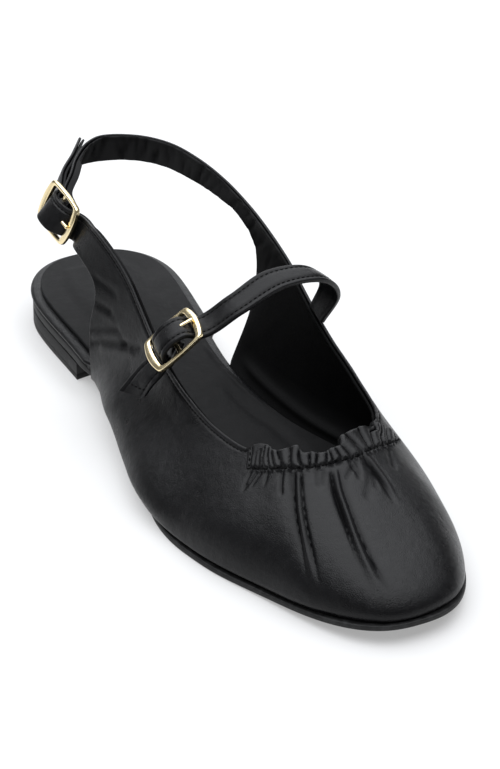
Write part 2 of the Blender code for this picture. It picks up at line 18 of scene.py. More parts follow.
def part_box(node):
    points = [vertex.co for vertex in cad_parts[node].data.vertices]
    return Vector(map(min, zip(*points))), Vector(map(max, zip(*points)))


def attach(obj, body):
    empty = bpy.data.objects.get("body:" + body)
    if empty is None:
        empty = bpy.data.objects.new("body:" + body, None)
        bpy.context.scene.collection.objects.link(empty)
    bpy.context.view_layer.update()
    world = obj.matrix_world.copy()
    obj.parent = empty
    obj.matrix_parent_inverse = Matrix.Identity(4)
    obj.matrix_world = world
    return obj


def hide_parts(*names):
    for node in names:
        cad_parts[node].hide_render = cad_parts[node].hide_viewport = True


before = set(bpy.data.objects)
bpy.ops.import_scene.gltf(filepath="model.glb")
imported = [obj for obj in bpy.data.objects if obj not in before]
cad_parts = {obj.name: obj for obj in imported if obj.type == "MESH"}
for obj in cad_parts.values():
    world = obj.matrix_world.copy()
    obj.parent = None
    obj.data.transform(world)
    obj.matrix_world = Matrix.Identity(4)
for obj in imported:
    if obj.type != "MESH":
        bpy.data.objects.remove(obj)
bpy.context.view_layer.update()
HEEL_BACK = np.array((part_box("insole_board")[0].x, 0, 0))

MM = 0.001

# Driving sizes, as in the part
LENGTH = 250 * MM
BALL_WIDTH = 81 * MM
INSTEP_HEIGHT = 68 * MM
HEEL_HEIGHT = 6.8 * MM
SOLE_THICKNESS = 3.0 * MM
HEEL_SEAT_THICKNESS = 2.0 * MM
TOE_SPRING = 5.4 * MM
BOARD_THICKNESS = 4.2 * MM
BOARD_FRONT_THICKNESS = 2.0 * MM
SOCK_THICKNESS = 1.2 * MM
WALL = 1.6 * MM
STRAP_THICKNESS = 1.6 * MM
STRAP_WIDTH = 10 * MM
GAP = 0.3 * MM

# Where the sole changes along its length
HEEL_BREAST_X = 0.26 * LENGTH
ARCH_END_X = 0.60 * LENGTH
SPRING_START_X = 0.74 * LENGTH
HEEL_CAP_X = 0.12 * LENGTH
TOE_CAP_X = 0.82 * LENGTH
TOE_TIP_Y = 0.053 * BALL_WIDTH
HEEL_POWER = 2.5
TOE_POWER = 2.6
HEEL_FRONT_X = 0.25 * LENGTH
HEEL_INSET = 0.7 * MM
HEEL_RIM = 1.4 * MM
SOLE_LIP = 0.4 * MM
SOLE_DROP = 1.0 * MM
WAIST_INSET = 2.2 * MM
WAIST_END_X = 0.63 * LENGTH
WAIST_FADE = 18 * MM
BREAST_HOLLOW = 2.5 * MM

# Where the board narrows to fit inside the upper, and the sock's margin on it
WING_FOOT_X = 0.302 * LENGTH
BOARD_STEP_LENGTH = 5 * MM
BOARD_FRONT_INSET = WALL + 0.8 * MM
BOARD_TOE_INSET = 1.4 * MM
BOARD_EDGE_ROUND = 2.4 * MM
SOCK_MARGIN = 3.6 * MM
SOCK_FRONT_MARGIN = 1.0 * MM
SOCK_EDGE = 0.4 * MM

# Buckles
BUCKLE_LENGTH = 19 * MM
WIRE = 1.1 * MM
WIRE_HEIGHT = 0.9 * MM
WIRE_POWER = 4.5
BAR = 0.8 * MM
CHAPE_ROLL = 1.9 * MM
SLING_ROLL_EDGES = (-5 * MM, 5 * MM)
PRONG = 0.65 * MM
PRONG_END_U = 9.6 * MM
PRONG_TIP = 0.12
PRONG_BLUNT = 0.25

# The buckle frame's outer and inner outline in mm: half sizes at the corners, and how far the end
# bars and the long sides bow out.
BuckleLoop = namedtuple("BuckleLoop", "half_length half_width end_bow side_bow")
BUCKLE_OUTER = BuckleLoop(9.3, 7.5, 1.5, 0.5)
BUCKLE_INNER = BuckleLoop(7.4, 6.4, 0.5, 0.3)
BUCKLE_SMOOTHING = 6

# Heights in mm of a strap's outer face over the centre bar and beside it, how far its lower edge
# stands up, and where the prong comes out of it
HumpRow = namedtuple("HumpRow", "top side tilt prong_start")
SLING_HUMP = HumpRow(4.0, 2.7, 1.5, 6.3)
INSTEP_HUMP = HumpRow(4.2, 2.9, 0, 5.2)
HUMP_SIDE_U = 5.0 * MM

# Heights of straps in a buckle: under the end bars, and the end that is sewn round the centre bar
UNDER_END_BAR = -(WIRE + 3 * GAP)
UNDER_CENTRE_BAR = -(BAR + GAP)
UNDER_STRAP = UNDER_END_BAR - STRAP_THICKNESS - 2 * GAP
END_BAR_U = BUCKLE_LENGTH / 2 - WIRE
CHAPE_END_U = 1.5 * MM

# Leather thicknesses and edges
LEATHER = 1.05 * MM
LINING = 1.0 * MM
STRAP_LINING = 0.85 * MM
RIM_GAPE = 0.35 * MM
RIM_GAPE_REACH = 2.5 * MM
LINING_GAP = 0.04 * MM
LINING_ROUND = 0.47
LINING_TRIM = 0.1 * MM
EDGE_ROUND = 0.5 * MM
RIM_STEPS = (0, 0.06, 0.22, 0.5, 0.8)
FEATHER_ROUND = 1.6 * MM
FEATHER_PINCH = 1.2 * MM
FOOT_FADE = 3 * MM
STRAP_CROWN = 0.3 * MM
FOLD_BACK_LENGTH = 28 * MM
FOLD_BACK_STEP = 1.3 * MM
FOLD_BACK_FADE = 0.8 * MM

# How many sections past the foot of each wing the lining keeps its thickness, and has thinned to the strap's
LINING_FULL_SECTIONS = 2
LINING_THIN_SECTIONS = 4

# Gathered band across the throat
BAND_STEP = 0.5 * MM
BAND_SOFT = 0.7 * MM
BAND_FIRST_SECTION = 4
BAND_LAST_SECTION = 11
RIB_HEIGHT = 1.3 * MM
RIB_WIDTH = 4.0 * MM
RIB_LEVEL = 0.6
RIB_ROUND = 0.5
RIB_SCALLOP = 0.12
RIB_RIM = 1.2 * MM
SAG_REACH = 9 * MM
LEAN_REACH = 14 * MM
SEAM_DEPTH = 0.25 * MM
SEAM_WIDTH = 0.45 * MM
SEAM_INSET = 0.8 * MM
# Painted shade laid into the band's seam and the topline's stitch groove, as a part of the full crease shade
SEAM_SHADE = 0.3
SEAM_FADE = 0.005
# Painted shade in the strap's stitch grooves, the fold depth at which the painted crease shade is full, and
# how narrow it is in the gathers' grooves
STRAP_SHADE = 0.6
CREASE_SHADE_DEPTH = 1.2 * MM
GROOVE_NARROWING = 1.5

# Stitching
STITCH_PITCH = 1.8 * MM
STITCH_LENGTH = 1.25 * MM
THREAD = 0.26 * MM
STITCH_GROOVE = 0.32 * MM
STITCH_GROOVE_WIDTH = 0.45 * MM
TOPLINE_STITCH = 1.6 * MM
STRAP_STITCH = 1.8 * MM
TAIL_STITCH = 3.4 * MM
TOPLINE_START = 6 * MM
TOPLINE_END = 12 * MM
STITCH_CLEAR = 1 * MM

# Mesh fineness
SIDE_CAP_STEPS = 40
SIDE_RUN_STEPS = 120
SOLE_COLUMNS = 48
FINE_SPACING = 0.43 * MM
COARSE_SPACING = 1.2 * MM
FEWEST_STEPS = 5
LINING_SPACING = 0.8 * MM
SECTION_COLUMNS = 64
SECTION_CROWDING = 1.6
STRAP_COLUMNS = 16
STRAP_SPACING = 0.7 * MM
CURVE_SAMPLES = 301
BREAST_STEPS = 24
BUCKLE_SIDE_STEPS = 32
TUBE_SIDES = 16
BAR_STEPS = 8
ROLL_STEPS = 24
PRONG_STEPS = 20
STITCH_LINE_SPACING = 1 * MM
STRAP_LINE_SPACING = 0.6 * MM
BAND_LINE_STEPS = 400
BAND_END_STEPS = 20
TAIL_LINE_STEPS = 12
STITCH_SEGMENTS = 8
STITCH_RINGS = 6
MERGE_DISTANCE = 0.005 * MM
SHARP_ANGLE = math.radians(50)

OutlineRow = namedtuple("OutlineRow", "x outer inner")
OUTLINE = (
    OutlineRow(0, 30.0, 32.5),
    OutlineRow(12, 34.5, 33.0),
    OutlineRow(25, 35.0, 28.0),
    OutlineRow(38, 37.0, 24.0),
    OutlineRow(50, 44.2, 29.6),
    OutlineRow(62, 52.0, 42.5),
    OutlineRow(74, 46.7, 52.0),
    OutlineRow(86, 33.5, 46.3),
    OutlineRow(100, 24.0, 37.5),
)

# Sections of the upper that stand on the sole, from the outer wing round the toe to the inner wing.
# foot: percent of the way from toe tip to heel back along that side of the outline, outer negative.
# rise and reach: handles of the section's curve in mm; flare and slope: their angles in degrees.
SectionRow = namedtuple("SectionRow", "foot x y z rise flare reach slope")
SECTIONS = (
    SectionRow(-67.2, 43.6, -24.5, 57.5, 10, 4, 10, 75),
    SectionRow(-57.5, 48.8, -25.8, 52.5, 11, 4, 9, 66),
    SectionRow(-48.5, 55.0, -26.0, 48.5, 11, 6, 9, 58),
    SectionRow(-39.5, 62.6, -24.5, 46.0, 11, 8, 10, 48),
    SectionRow(-30.8, 69.0, -20.5, 46.5, 12, 8, 12, 42),
    SectionRow(-21.5, 72.0, -14.2, 49.7, 12, 8, 16, 36),
    SectionRow(-12.0, 74.7, -7.5, 52.7, 12, 6, 19, 30),
    SectionRow(-3.0, 76.2, 0.4, 52.8, 12, 4, 22, 26),
    SectionRow(6.0, 75.9, 9.0, 53.0, 12, 4, 22, 26),
    SectionRow(14.0, 74.0, 17.9, 53.2, 12, 6, 22, 29),
    SectionRow(21.0, 72.4, 26.5, 51.8, 12, 8, 17, 36),
    SectionRow(28.0, 70.4, 35.2, 49.7, 12, 10, 12, 48),
    SectionRow(38.0, 62.0, 40.2, 53.0, 11, 14, 10, 66),
    SectionRow(48.7, 54.0, 41.4, 58.8, 11, 22, 10, 78),
    SectionRow(57.5, 48.4, 42.6, 64.0, 11, 28, 10, 84),
    SectionRow(62.8, 44.2, 43.8, 68.2, 11, 28, 10, 88),
)

# The board's rounded edge from its bottom up: part of its thickness, part of BOARD_EDGE_ROUND inwards.
BoardEdgeRow = namedtuple("BoardEdgeRow", "height inset")
BOARD_EDGE = (
    BoardEdgeRow(0, 0.70),
    BoardEdgeRow(0.36, 0.70),
    BoardEdgeRow(0.44, 0.58),
    BoardEdgeRow(0.51, 0.32),
    BoardEdgeRow(0.58, 0.12),
    BoardEdgeRow(0.66, 0.02),
    BoardEdgeRow(0.74, 0),
    BoardEdgeRow(0.82, 0.08),
    BoardEdgeRow(0.90, 0.25),
    BoardEdgeRow(0.96, 0.52),
    BoardEdgeRow(1, 1),
)

# The sole's side from its underside up: part of its thickness, mm inwards
SoleSideRow = namedtuple("SoleSideRow", "rise inset")
SOLE_SIDE = (
    SoleSideRow(0, 0.5),
    SoleSideRow(0.06, 0.25),
    SoleSideRow(0.18, 0.05),
    SoleSideRow(0.30, 0),
    SoleSideRow(0.70, 0),
    SoleSideRow(0.82, 0.05),
    SoleSideRow(0.94, 0.25),
    SoleSideRow(1, 0.5),
)

# The heel block's side from the floor up: mm above the floor, mm inwards
HeelSideRow = namedtuple("HeelSideRow", "height inset")
HEEL_SIDE = (
    HeelSideRow(0, 0.5),
    HeelSideRow(0.15, 0.2),
    HeelSideRow(0.5, 0),
    HeelSideRow(2.1, 0),
    HeelSideRow(2.25, 0.25),
    HeelSideRow(2.4, 0),
    HeelSideRow(6.3, 0),
    HeelSideRow(6.5, 0.2),
)

# The sock's round upper edge: parts of SOCK_EDGE inwards and below its top
SockEdgeRow = namedtuple("SockEdgeRow", "inset drop")
SOCK_ROUND = (
    SockEdgeRow(0, 1),
    SockEdgeRow(0.1, 0.5),
    SockEdgeRow(0.4, 0.15),
    SockEdgeRow(1, 0),
)

# Free sections of the upper: lower and upper edge of the wings and the sling strap.
EdgeRow = namedtuple("EdgeRow", "low_x low_y low_z top_x top_y top_z")
OUTER_TAIL = (
    EdgeRow(2.7, -5.9, 81.5, 3.7, -2.5, 95.0),
    EdgeRow(6.4, -14.8, 80.7, 7.5, -11.3, 94.3),
    EdgeRow(10.0, -23.9, 79.7, 11.0, -20.5, 93.2),
)
OUTER_WING = (
    EdgeRow(24.0, -33.3, 74.8, 26.8, -27.6, 89.4),
    EdgeRow(30.4, -32.4, 61.8, 34.4, -23.5, 75.7),
    EdgeRow(30.4, -35.2, 41.2, 39.0, -23.4, 65.0),
)
INNER_SLING = (
    EdgeRow(33.2, 38.9, 38.2, 39.6, 45.4, 72.5),
    EdgeRow(30.0, 45.7, 61.0, 33.6, 46.0, 77.6),
    EdgeRow(24.8, 45.1, 73.5, 26.8, 45.7, 82.6),
    EdgeRow(20.0, 41.7, 77.2, 21.2, 42.8, 88.2),
    EdgeRow(14.8, 36.5, 79.4, 15.2, 37.9, 92.4),
    EdgeRow(10.2, 30.2, 80.9, 10.4, 31.5, 94.6),
    EdgeRow(6.2, 19.5, 80.9, 6.4, 20.4, 95.3),
    EdgeRow(4.0, 5.3, 80.3, 4.3, 5.6, 94.9),
    EdgeRow(4.3, -3.9, 81.2, 5.2, -0.5, 94.9),
    EdgeRow(7.5, -14.3, 80.6, 8.5, -10.9, 94.1),
    EdgeRow(11.3, -22.1, 79.7, 12.3, -18.6, 93.2),
)

# The instep strap's rear and front edges, from the inner topline over the instep.
STRAP_OVER = (
    EdgeRow(47.9, 42.4, 65.4, 51.5, 41.8, 62.0),
    EdgeRow(49.8, 43.0, 82.0, 53.0, 46.5, 77.5),
    EdgeRow(52.2, 30.2, 99.0, 55.2, 36.4, 94.6),
    EdgeRow(52.3, 12.3, 100.9, 55.7, 17.3, 97.6),
    EdgeRow(52.0, -3.2, 91.5, 55.9, -2.5, 89.5),
)
STRAP_TAIL = (
    EdgeRow(48.4, -38.6, 54.6, 52.9, -38.0, 55.0),
    EdgeRow(48.0, -46.3, 43.6, 51.7, -39.8, 45.0),
)

# Where the tab behind the instep buckle is sewn to the lining: along the upper from the band's outer
# section, and mm below the topline at each row
TAB_FRONT = -67.5 * MM
TAB_REAR = -75.0 * MM
TAB_EDGES = (-2.2 * MM, 6.0 * MM)
TAB_BELOW = (9, 4, 0.5)
TAB_GAP = 0.2 * MM

# A buckle's centre in table percent, and which way it runs along the strap and faces out.
BuckleRow = namedtuple("BuckleRow", "x y z along outward")
SLING_BUCKLE = BuckleRow(17.6, -31.1, 83.0, (0.98, 0.04, -0.18), (0.10, -0.93, 0.36))
INSTEP_BUCKLE = BuckleRow(51.8, -26.9, 73.2, (0.19, 0.73, 0.66), (0.06, -0.68, 0.73))

# Lower edge of the gathered band: percent of the band from its outer end, mm below the topline.
BandRow = namedtuple("BandRow", "place below")
BAND_EDGE = (
    BandRow(0, 8.3),
    BandRow(22, 8.1),
    BandRow(31, 7.9),
    BandRow(37, 7.2),
    BandRow(45, 6.3),
    BandRow(56, 6.3),
    BandRow(61, 7.3),
    BandRow(68, 8.6),
    BandRow(79, 11.2),
    BandRow(96, 12.3),
    BandRow(100, 12.3),
)

# How far the band's top edge sags below the topline, in mm; it also stands up in places.
BAND_SAG = (
    BandRow(0, 0),
    BandRow(4, -1.8),
    BandRow(9, -2.0),
    BandRow(13, -1.2),
    BandRow(16, 0),
    BandRow(21, 0),
    BandRow(25, -1.2),
    BandRow(28, -2.0),
    BandRow(31, -0.9),
    BandRow(34, 0.6),
    BandRow(39, 0.2),
    BandRow(44, 0.6),
    BandRow(49, 0.6),
    BandRow(54, 0),
    BandRow(64, 0),
    BandRow(67, -1.0),
    BandRow(70, -1.8),
    BandRow(75, -1.0),
    BandRow(80, -0.5),
    BandRow(84, 0),
    BandRow(86, 1.8),
    BandRow(88, 2.6),
    BandRow(91, 2.0),
    BandRow(94, 1.2),
    BandRow(100, 0),
)

# Grooves between the gathers: percent of the band at its top edge, lean in percent per 10 mm down.
RibRow = namedtuple("RibRow", "place lean")
BAND_OUTER_END = RibRow(0.7, 9.5)
BAND_INNER_END = RibRow(93.3, 4.0)
RIBS = (
    RibRow(9.7, 8.8),
    RibRow(12.9, 9.8),
    RibRow(15.5, 9.5),
    RibRow(18.7, 10.8),
    RibRow(24.5, 9.7),
    RibRow(31.0, 8.1),
    RibRow(38.5, 1.3),
    RibRow(43.4, -3.0),
    RibRow(50.0, -5.0),
    RibRow(52.2, -2.2),
    RibRow(57.6, -3.7),
    RibRow(62.2, -2.9),
    RibRow(72.4, -6.7),
    RibRow(81.9, -12.7),
    RibRow(90.5, -17.0),
    RibRow(98.5, -18.0),
    RibRow(104.0, -18.0),
    RibRow(111.0, -17.0),
)

# Folds of the vamp, each a ridge between two troughs: mm below the topline, percent of the band at
# the outer and inner trough, and their depths and the ridge's height in mm.
FOLD_OUTER_WIDTH = 0.85 * MM
FOLD_INNER_WIDTH = 0.6 * MM
FOLD_RIDGE_WIDTH = 1.0 * MM
FOLD_FADE = 2 * MM
FoldRow = namedtuple("FoldRow", "below outer inner outer_depth inner_depth ridge")
FOLDS = (
    (
        FoldRow(7.5, 32.8, 35.6, 0.9, 0.7, 0.5),
        FoldRow(14.5, 32.7, 35.5, 1.0, 0.7, 0.6),
        FoldRow(22.5, 32.1, 34.8, 1.0, 0.8, 0.6),
        FoldRow(30.0, 31.5, 34.1, 0.9, 0.9, 0.6),
        FoldRow(36.0, 30.9, 33.5, 0.6, 0.9, 0.5),
        FoldRow(40.5, 30.3, 33.0, 0.4, 0.7, 0.4),
        FoldRow(46.0, 29.6, 32.4, 0.15, 0.25, 0.15),
        FoldRow(51.0, 29.0, 31.9, 0, 0, 0),
    ),
    (
        FoldRow(7.5, 48.6, 52.0, 0.9, 0.4, 0.4),
        FoldRow(15.3, 46.6, 49.7, 1.3, 0.6, 0.6),
        FoldRow(22.6, 45.7, 48.7, 1.4, 0.7, 0.8),
        FoldRow(29.3, 45.0, 47.9, 1.2, 0.8, 0.8),
        FoldRow(36.0, 44.3, 47.2, 0.9, 0.9, 0.7),
        FoldRow(42.5, 43.6, 46.8, 0.6, 0.9, 0.6),
        FoldRow(48.5, 43.3, 46.6, 0.35, 0.8, 0.5),
        FoldRow(53.0, 43.0, 46.6, 0.15, 0.5, 0.2),
        FoldRow(58.0, 42.7, 46.6, 0, 0, 0),
    ),
    (
        FoldRow(8.0, 66.6, 69.8, 0.8, 0.2, 0.4),
        FoldRow(13.8, 64.2, 67.2, 1.6, 0.2, 0.5),
        FoldRow(19.0, 62.6, 65.4, 1.5, 0.2, 0.5),
        FoldRow(23.0, 61.3, 63.9, 0.7, 0.1, 0.3),
        FoldRow(28.0, 60.0, 62.6, 0, 0, 0),
    ),
)

# Soft creases: both ends as mm along the upper from the band's outer section and mm below its top
# edge, with the crease's width and depth in mm; a negative depth is a ridge.
CreaseRow = namedtuple("CreaseRow", "start_along start_below end_along end_below width depth")
CREASES = (
    CreaseRow(-119.2, 12.1, -111.2, 8.6, 1.4, 0.35),
    CreaseRow(-110.5, 18.5, -105.4, 14.8, 1.2, 0.55),
    CreaseRow(-108.0, 19.5, -103.0, 15.8, 1.2, -0.3),
    CreaseRow(-100.8, 27.9, -97.6, 15.8, 1.3, 0.5),
    CreaseRow(-98.6, 28.5, -95.4, 16.5, 1.1, -0.35),
    CreaseRow(-96.0, 32.2, -91.2, 15.7, 1.5, 0.6),
    CreaseRow(-91.2, 15.7, -87.2, 8.8, 1.5, 0.5),
    CreaseRow(-92.0, 28.4, -86.4, 14.4, 1.5, -0.4),
    CreaseRow(9.6, 3.2, 14.4, 7.8, 0.5, 0.3),
    CreaseRow(11.2, 2.3, 17.7, 7.6, 0.5, 0.3),
    CreaseRow(12.8, 8.8, 12.8, 14.7, 0.6, 0.4),
    CreaseRow(15.0, 8.8, 13.2, 12.0, 0.6, -0.25),
    CreaseRow(16.8, 8.8, 13.7, 13.9, 0.6, 0.4),
    CreaseRow(19.3, 8.8, 16.8, 13.0, 0.6, 0.4),
    CreaseRow(24.0, 8.8, 24.0, 12.1, 0.7, 0.4),
    CreaseRow(33.7, 8.8, 34.4, 15.8, 0.7, 0.55),
    CreaseRow(38.6, 9.5, 39.6, 15.0, 0.7, 0.3),
    CreaseRow(52.1, 8.0, 51.2, 13.0, 0.8, 0.35),
    CreaseRow(56.1, 8.1, 53.6, 12.5, 0.8, 0.35),
    CreaseRow(72.0, 8.9, 65.6, 11.9, 0.7, 0.4),
    CreaseRow(72.0, 8.9, 71.2, 11.8, 0.7, 0.4),
    CreaseRow(75.2, 8.8, 70.5, 13.3, 0.8, 0.35),
    CreaseRow(79.2, 10.9, 68.0, 20.8, 1.2, 0.3),
    CreaseRow(77.6, 14.6, 73.6, 19.2, 0.9, 0.35),
    CreaseRow(100.0, 12.9, 90.4, 17.7, 1.2, 0.45),
)

# Shallow dents and swells that keep the leather from lying dead smooth: mm along from the band's
# outer section, mm below the top edge, and mm deep.
DentRow = namedtuple("DentRow", "along below reach_along reach_down depth")
DENTS = (
    DentRow(-59, 21, 14, 9, 0.6),
    DentRow(-36, 21, 16, 10, 0.8),
    DentRow(-14, 23, 13, 10, 0.9),
    DentRow(15, 27, 12, 12, -1.2),
    DentRow(29, 40, 10, 10, 0.4),
    DentRow(69, 40, 9, 14, 0.35),
    DentRow(92, 30, 10, 10, -0.4),
    DentRow(137, 20, 14, 9, 0.4),
)

# Swell of the outer quarter over the sole's waist: its height, and how far above the sole it is highest
# and ends; then how far it rises along the wing, and how far before the band it falls and is gone
SWELL_HEIGHT = 4.2 * MM
SWELL_PEAK = 5 * MM
SWELL_TOP = 27 * MM
SWELL_RISE = 20 * MM
SWELL_FALL = 40 * MM
SWELL_GONE = 5 * MM

# Wrinkles across the lining of the sling, along the upper from the band's outer section
WRINKLE_START = 232 * MM
WRINKLE_END = 337 * MM
WRINKLE_COUNT = 42
WRINKLE_DEPTH = 0.6 * MM
WRINKLE_WIDTH = 0.9 * MM
WRINKLE_SEED = 11

# Ranges that each wrinkle is drawn from: shift along in mm, lean, reach and place below the top edge
# in mm, and part of the full depth
WRINKLE_SHIFT = (-1.2, 1.2)
WRINKLE_LEAN = (-0.3, 0.5)
WRINKLE_REACH = (3, 9)
WRINKLE_BELOW = (0, 8)
WRINKLE_PART = (0.4, 1)

# Roll where the lining meets the sock on the inner side
ROLL_HEIGHT = 1.5 * MM
ROLL_ABOVE = 5.8 * MM
ROLL_WIDTH = 1.7 * MM
ROLL_FADE = 12 * MM

# Crease in the sock under the throat, from the back of the heel, and the curl of its inner edge
SockRow = namedtuple("SockRow", "x y")
SOCK_CREASE = (
    SockRow(100 * MM, 9.3 * MM),
    SockRow(109 * MM, 9.8 * MM),
    SockRow(119 * MM, 11.2 * MM),
    SockRow(129 * MM, 14.2 * MM),
    SockRow(143 * MM, 16.2 * MM),
    SockRow(152 * MM, 17.5 * MM),
)
SOCK_CREASE_DEPTH = 0.9 * MM
SOCK_CREASE_WIDTH = 2.2 * MM
SOCK_CURL = 0.9 * MM
SOCK_CURL_INSET = 1.4 * MM
SOCK_CURL_WIDTH = 0.8 * MM
SOCK_CURL_START_X = 78 * MM
SOCK_CURL_END_X = 122 * MM
SOCK_CURL_FADE = 8 * MM
SOCK_RAGGED = 0.25
SOCK_RAG_LENGTHS = (1.3 * MM, 2.9 * MM)

# Padded seat under the sock
PAD_HEIGHT = 1.0 * MM
PAD_MARGIN = 7 * MM
PAD_SOFT = 5 * MM
PAD_END_X = 0.36 * LENGTH
PAD_FADE = 20 * MM

# View and light
CAMERA_PLACE = np.array((976.83, -417.71, 591.79)) * MM
CAMERA_AIM = np.array((90.8, 25.4, 0)) * MM
CAMERA_ROLL = math.radians(0.56)
CAMERA_LENS = 156
CAMERA_REACH = 20
FLOOR_SIZE = 8.0
FLOOR_GLOW = 0.36
WORLD_STRENGTH = 0.2
LIGHT_COLOUR = (0.95, 0.97, 1.0)
LightRow = namedtuple("LightRow", "name place aim width depth power")
LIGHTS = (
    LightRow("overhead", (-0.4, 0.05, 1.6), (-0.4, 0.05, 0), 3.0, 3.0, 90),
    LightRow("backdrop", (-2.0, 0.85, 0.75), (0, 0, 0), 1.8, 0.9, 9),
)

# Finishes: darkest and palest colour, mean roughness, level of reflection and depth of the grain
FinishRow = namedtuple("FinishRow", "dark pale rough gloss grain")
LEATHER_FINISH = FinishRow((0.0030, 0.0030, 0.0034), (0.0058, 0.0058, 0.0066), 0.31, 0.19, 0.06 * MM)
SOCK_FINISH = FinishRow((0.0020, 0.0020, 0.0022), (0.019, 0.019, 0.0195), 0.58, 0.06, 0.08 * MM)
LINING_FINISH = FinishRow((0.0007, 0.0007, 0.0008), (0.018, 0.018, 0.0185), 0.72, 0.06, 0.08 * MM)
RUBBER_FINISH = FinishRow((0.010, 0.010, 0.0102), (0.030, 0.030, 0.0305), 0.55, 0.25, 0.12 * MM)
GOLD_FINISH = FinishRow((0.92, 0.76, 0.45), (0.96, 0.83, 0.55), 0.14, 0.5, 0.01 * MM)
THREAD_FINISH = FinishRow((0.001, 0.001, 0.001), (0.003, 0.003, 0.003), 0.8, 0.1, 0)
FLOOR_FINISH = FinishRow((0.39, 0.39, 0.39), (0.41, 0.41, 0.41), 0.9, 0.5, 0)
# Painted shade in folds, gathers, seams and stitch grooves: a dark colour without reflection, blended in by
# how deep the point lies
CREASE_SHADE_COLOUR = (0.003, 0.003, 0.0032)
CREASE_SHADE_ROUGHNESS = 0.8
CREASE_SHADE_PART = 0.85

# Painted shade along the sock from the back of the heel towards the throat, painted light up the lining from
# its foot, and where the sling is paler
SOCK_SHADE_X = (0.12 * LENGTH, 0.30 * LENGTH)
LINING_PAINTED_LIGHT_Z = (10 * MM, 18 * MM)
SLING_PALE_Z = (48 * MM, 56 * MM)

# Sockets of the colour mix node
MIX_COLOURS = (6, 7)
MIX_RESULT = 2

UP = np.array((0.0, 0.0, 1.0))


def table_point(x, y, z):
    """A point of the section tables in metres."""
    return np.array((x * LENGTH, y * BALL_WIDTH, z * INSTEP_HEIGHT)) / 100


def unit(vectors):
    """Vectors along the last axis at length one."""
    vectors = np.asarray(vectors, float)
    return vectors / np.linalg.norm(vectors, axis=-1, keepdims=True)


def ramp(value, start, end):
    """Smooth step from 0 at start to 1 at end."""
    t = np.clip((value - start) / (end - start), 0, 1)
    return t * t * (3 - 2 * t)


def bump(distance, width):
    """Soft bell of height 1."""
    return np.exp(-((distance / width) ** 2))


def crease(distance, width):
    """Sharp trough of depth 1."""
    return np.exp(-np.abs(distance) / width)


def smooth(knots, values, at, corners=()):
    """Curve through the rows; at a corner row each side keeps its own direction."""
    knots = np.asarray(knots, float)
    at = np.asarray(at, float)
    values = np.asarray(values, float)
    flat = values.reshape(len(knots), -1)
    spans = np.diff(knots)[:, None]
    slopes = np.diff(flat, axis=0) / spans
    leaving = np.vstack((slopes, slopes[-1:]))
    arriving = np.vstack((slopes[:1], slopes))
    for row in range(1, len(knots) - 1):
        if row in corners:
            continue
        before, after = spans[row - 1], spans[row]
        tangent = (slopes[row - 1] * after + slopes[row] * before) / (before + after)
        leaving[row] = tangent
        arriving[row] = tangent
    piece = np.clip(np.searchsorted(knots, at, side="right") - 1, 0, len(knots) - 2)
    span = spans[piece]
    t = (at[:, None] - knots[piece][:, None]) / span
    curve = (
        (1 + 2 * t) * (1 - t) ** 2 * flat[piece]
        + t * (1 - t) ** 2 * span * leaving[piece]
        + t * t * (3 - 2 * t) * flat[piece + 1]
        + t * t * (t - 1) * span * arriving[piece + 1]
    )
    return curve.reshape((len(at),) + values.shape[1:])


def sole_bottom(x):
    """Height of the outsole's underside: heel seat, arch, flat forefoot and toe spring."""
    arch = HEEL_HEIGHT * (1 - ramp(x, HEEL_BREAST_X, ARCH_END_X))
    rise = np.clip((x - SPRING_START_X) / (LENGTH - SPRING_START_X), 0, 1)
    return arch + TOE_SPRING * rise ** 2


def sole_top(x):
    """Height of the outsole's upper face, which is thinner at the heel seat."""
    thinning = SOLE_THICKNESS - HEEL_SEAT_THICKNESS
    return sole_bottom(x) + SOLE_THICKNESS - thinning * (1 - ramp(x, HEEL_BREAST_X, ARCH_END_X))


def sole_edge_top(x):
    """Top of the sole's side: it rises round the board at the heel and the upper covers it in front."""
    rim = HEEL_RIM * (1 - ramp(x, HEEL_BREAST_X, WING_FOOT_X))
    return sole_top(x) + rim - SOLE_DROP * ramp(x, WING_FOOT_X, ARCH_END_X)


def board_top(x):
    """Height of the board's upper face, which is thinner in front."""
    thinning = BOARD_THICKNESS - BOARD_FRONT_THICKNESS
    thickness = BOARD_THICKNESS - thinning * ramp(x, WING_FOOT_X, ARCH_END_X)
    return sole_top(x) + GAP + thickness


def outline_side(widths, side):
    """Points from the toe tip to the heel back along one side of the sole."""
    rows_x = [row.x / 100 * LENGTH for row in OUTLINE]
    rows_y = [width / 100 * BALL_WIDTH for width in widths]

    def half_width(x):
        return smooth(rows_x, rows_y, x)

    tip = side * TOE_TIP_Y
    turn = np.linspace(math.pi / 2, 0, SIDE_CAP_STEPS + 1)
    toe_x = TOE_CAP_X + (LENGTH - TOE_CAP_X) * np.sin(turn) ** (2 / TOE_POWER)
    toe_y = tip + (half_width(toe_x) - tip) * np.cos(turn) ** (2 / TOE_POWER)
    run_x = np.linspace(TOE_CAP_X, HEEL_CAP_X, SIDE_RUN_STEPS + 1)[1:-1]
    heel_x = HEEL_CAP_X * (1 - np.sin(turn[::-1]) ** (2 / HEEL_POWER))
    heel_y = half_width(heel_x) * np.cos(turn[::-1]) ** (2 / HEEL_POWER)
    x = np.concatenate((toe_x, run_x, heel_x))
    y = np.concatenate((toe_y, half_width(run_x), heel_y))
    return np.column_stack((x, side * y))


def outline_normals(outer, inner):
    """Outward normals of both sides, which run from toe tip to heel back."""
    loop = np.vstack((outer, inner[-2:0:-1]))
    tangent = np.roll(loop, -1, axis=0) - np.roll(loop, 1, axis=0)
    normal = -unit(np.column_stack((tangent[:, 1], -tangent[:, 0])))
    count = len(outer)
    inner_normal = np.vstack((normal[:1], normal[:count - 2:-1]))
    return normal[:count], inner_normal


OUTER_SIDE = outline_side([row.outer for row in OUTLINE], -1)
INNER_SIDE = outline_side([row.inner for row in OUTLINE], 1)
OUTER_NORMAL, INNER_NORMAL = outline_normals(OUTER_SIDE, INNER_SIDE)


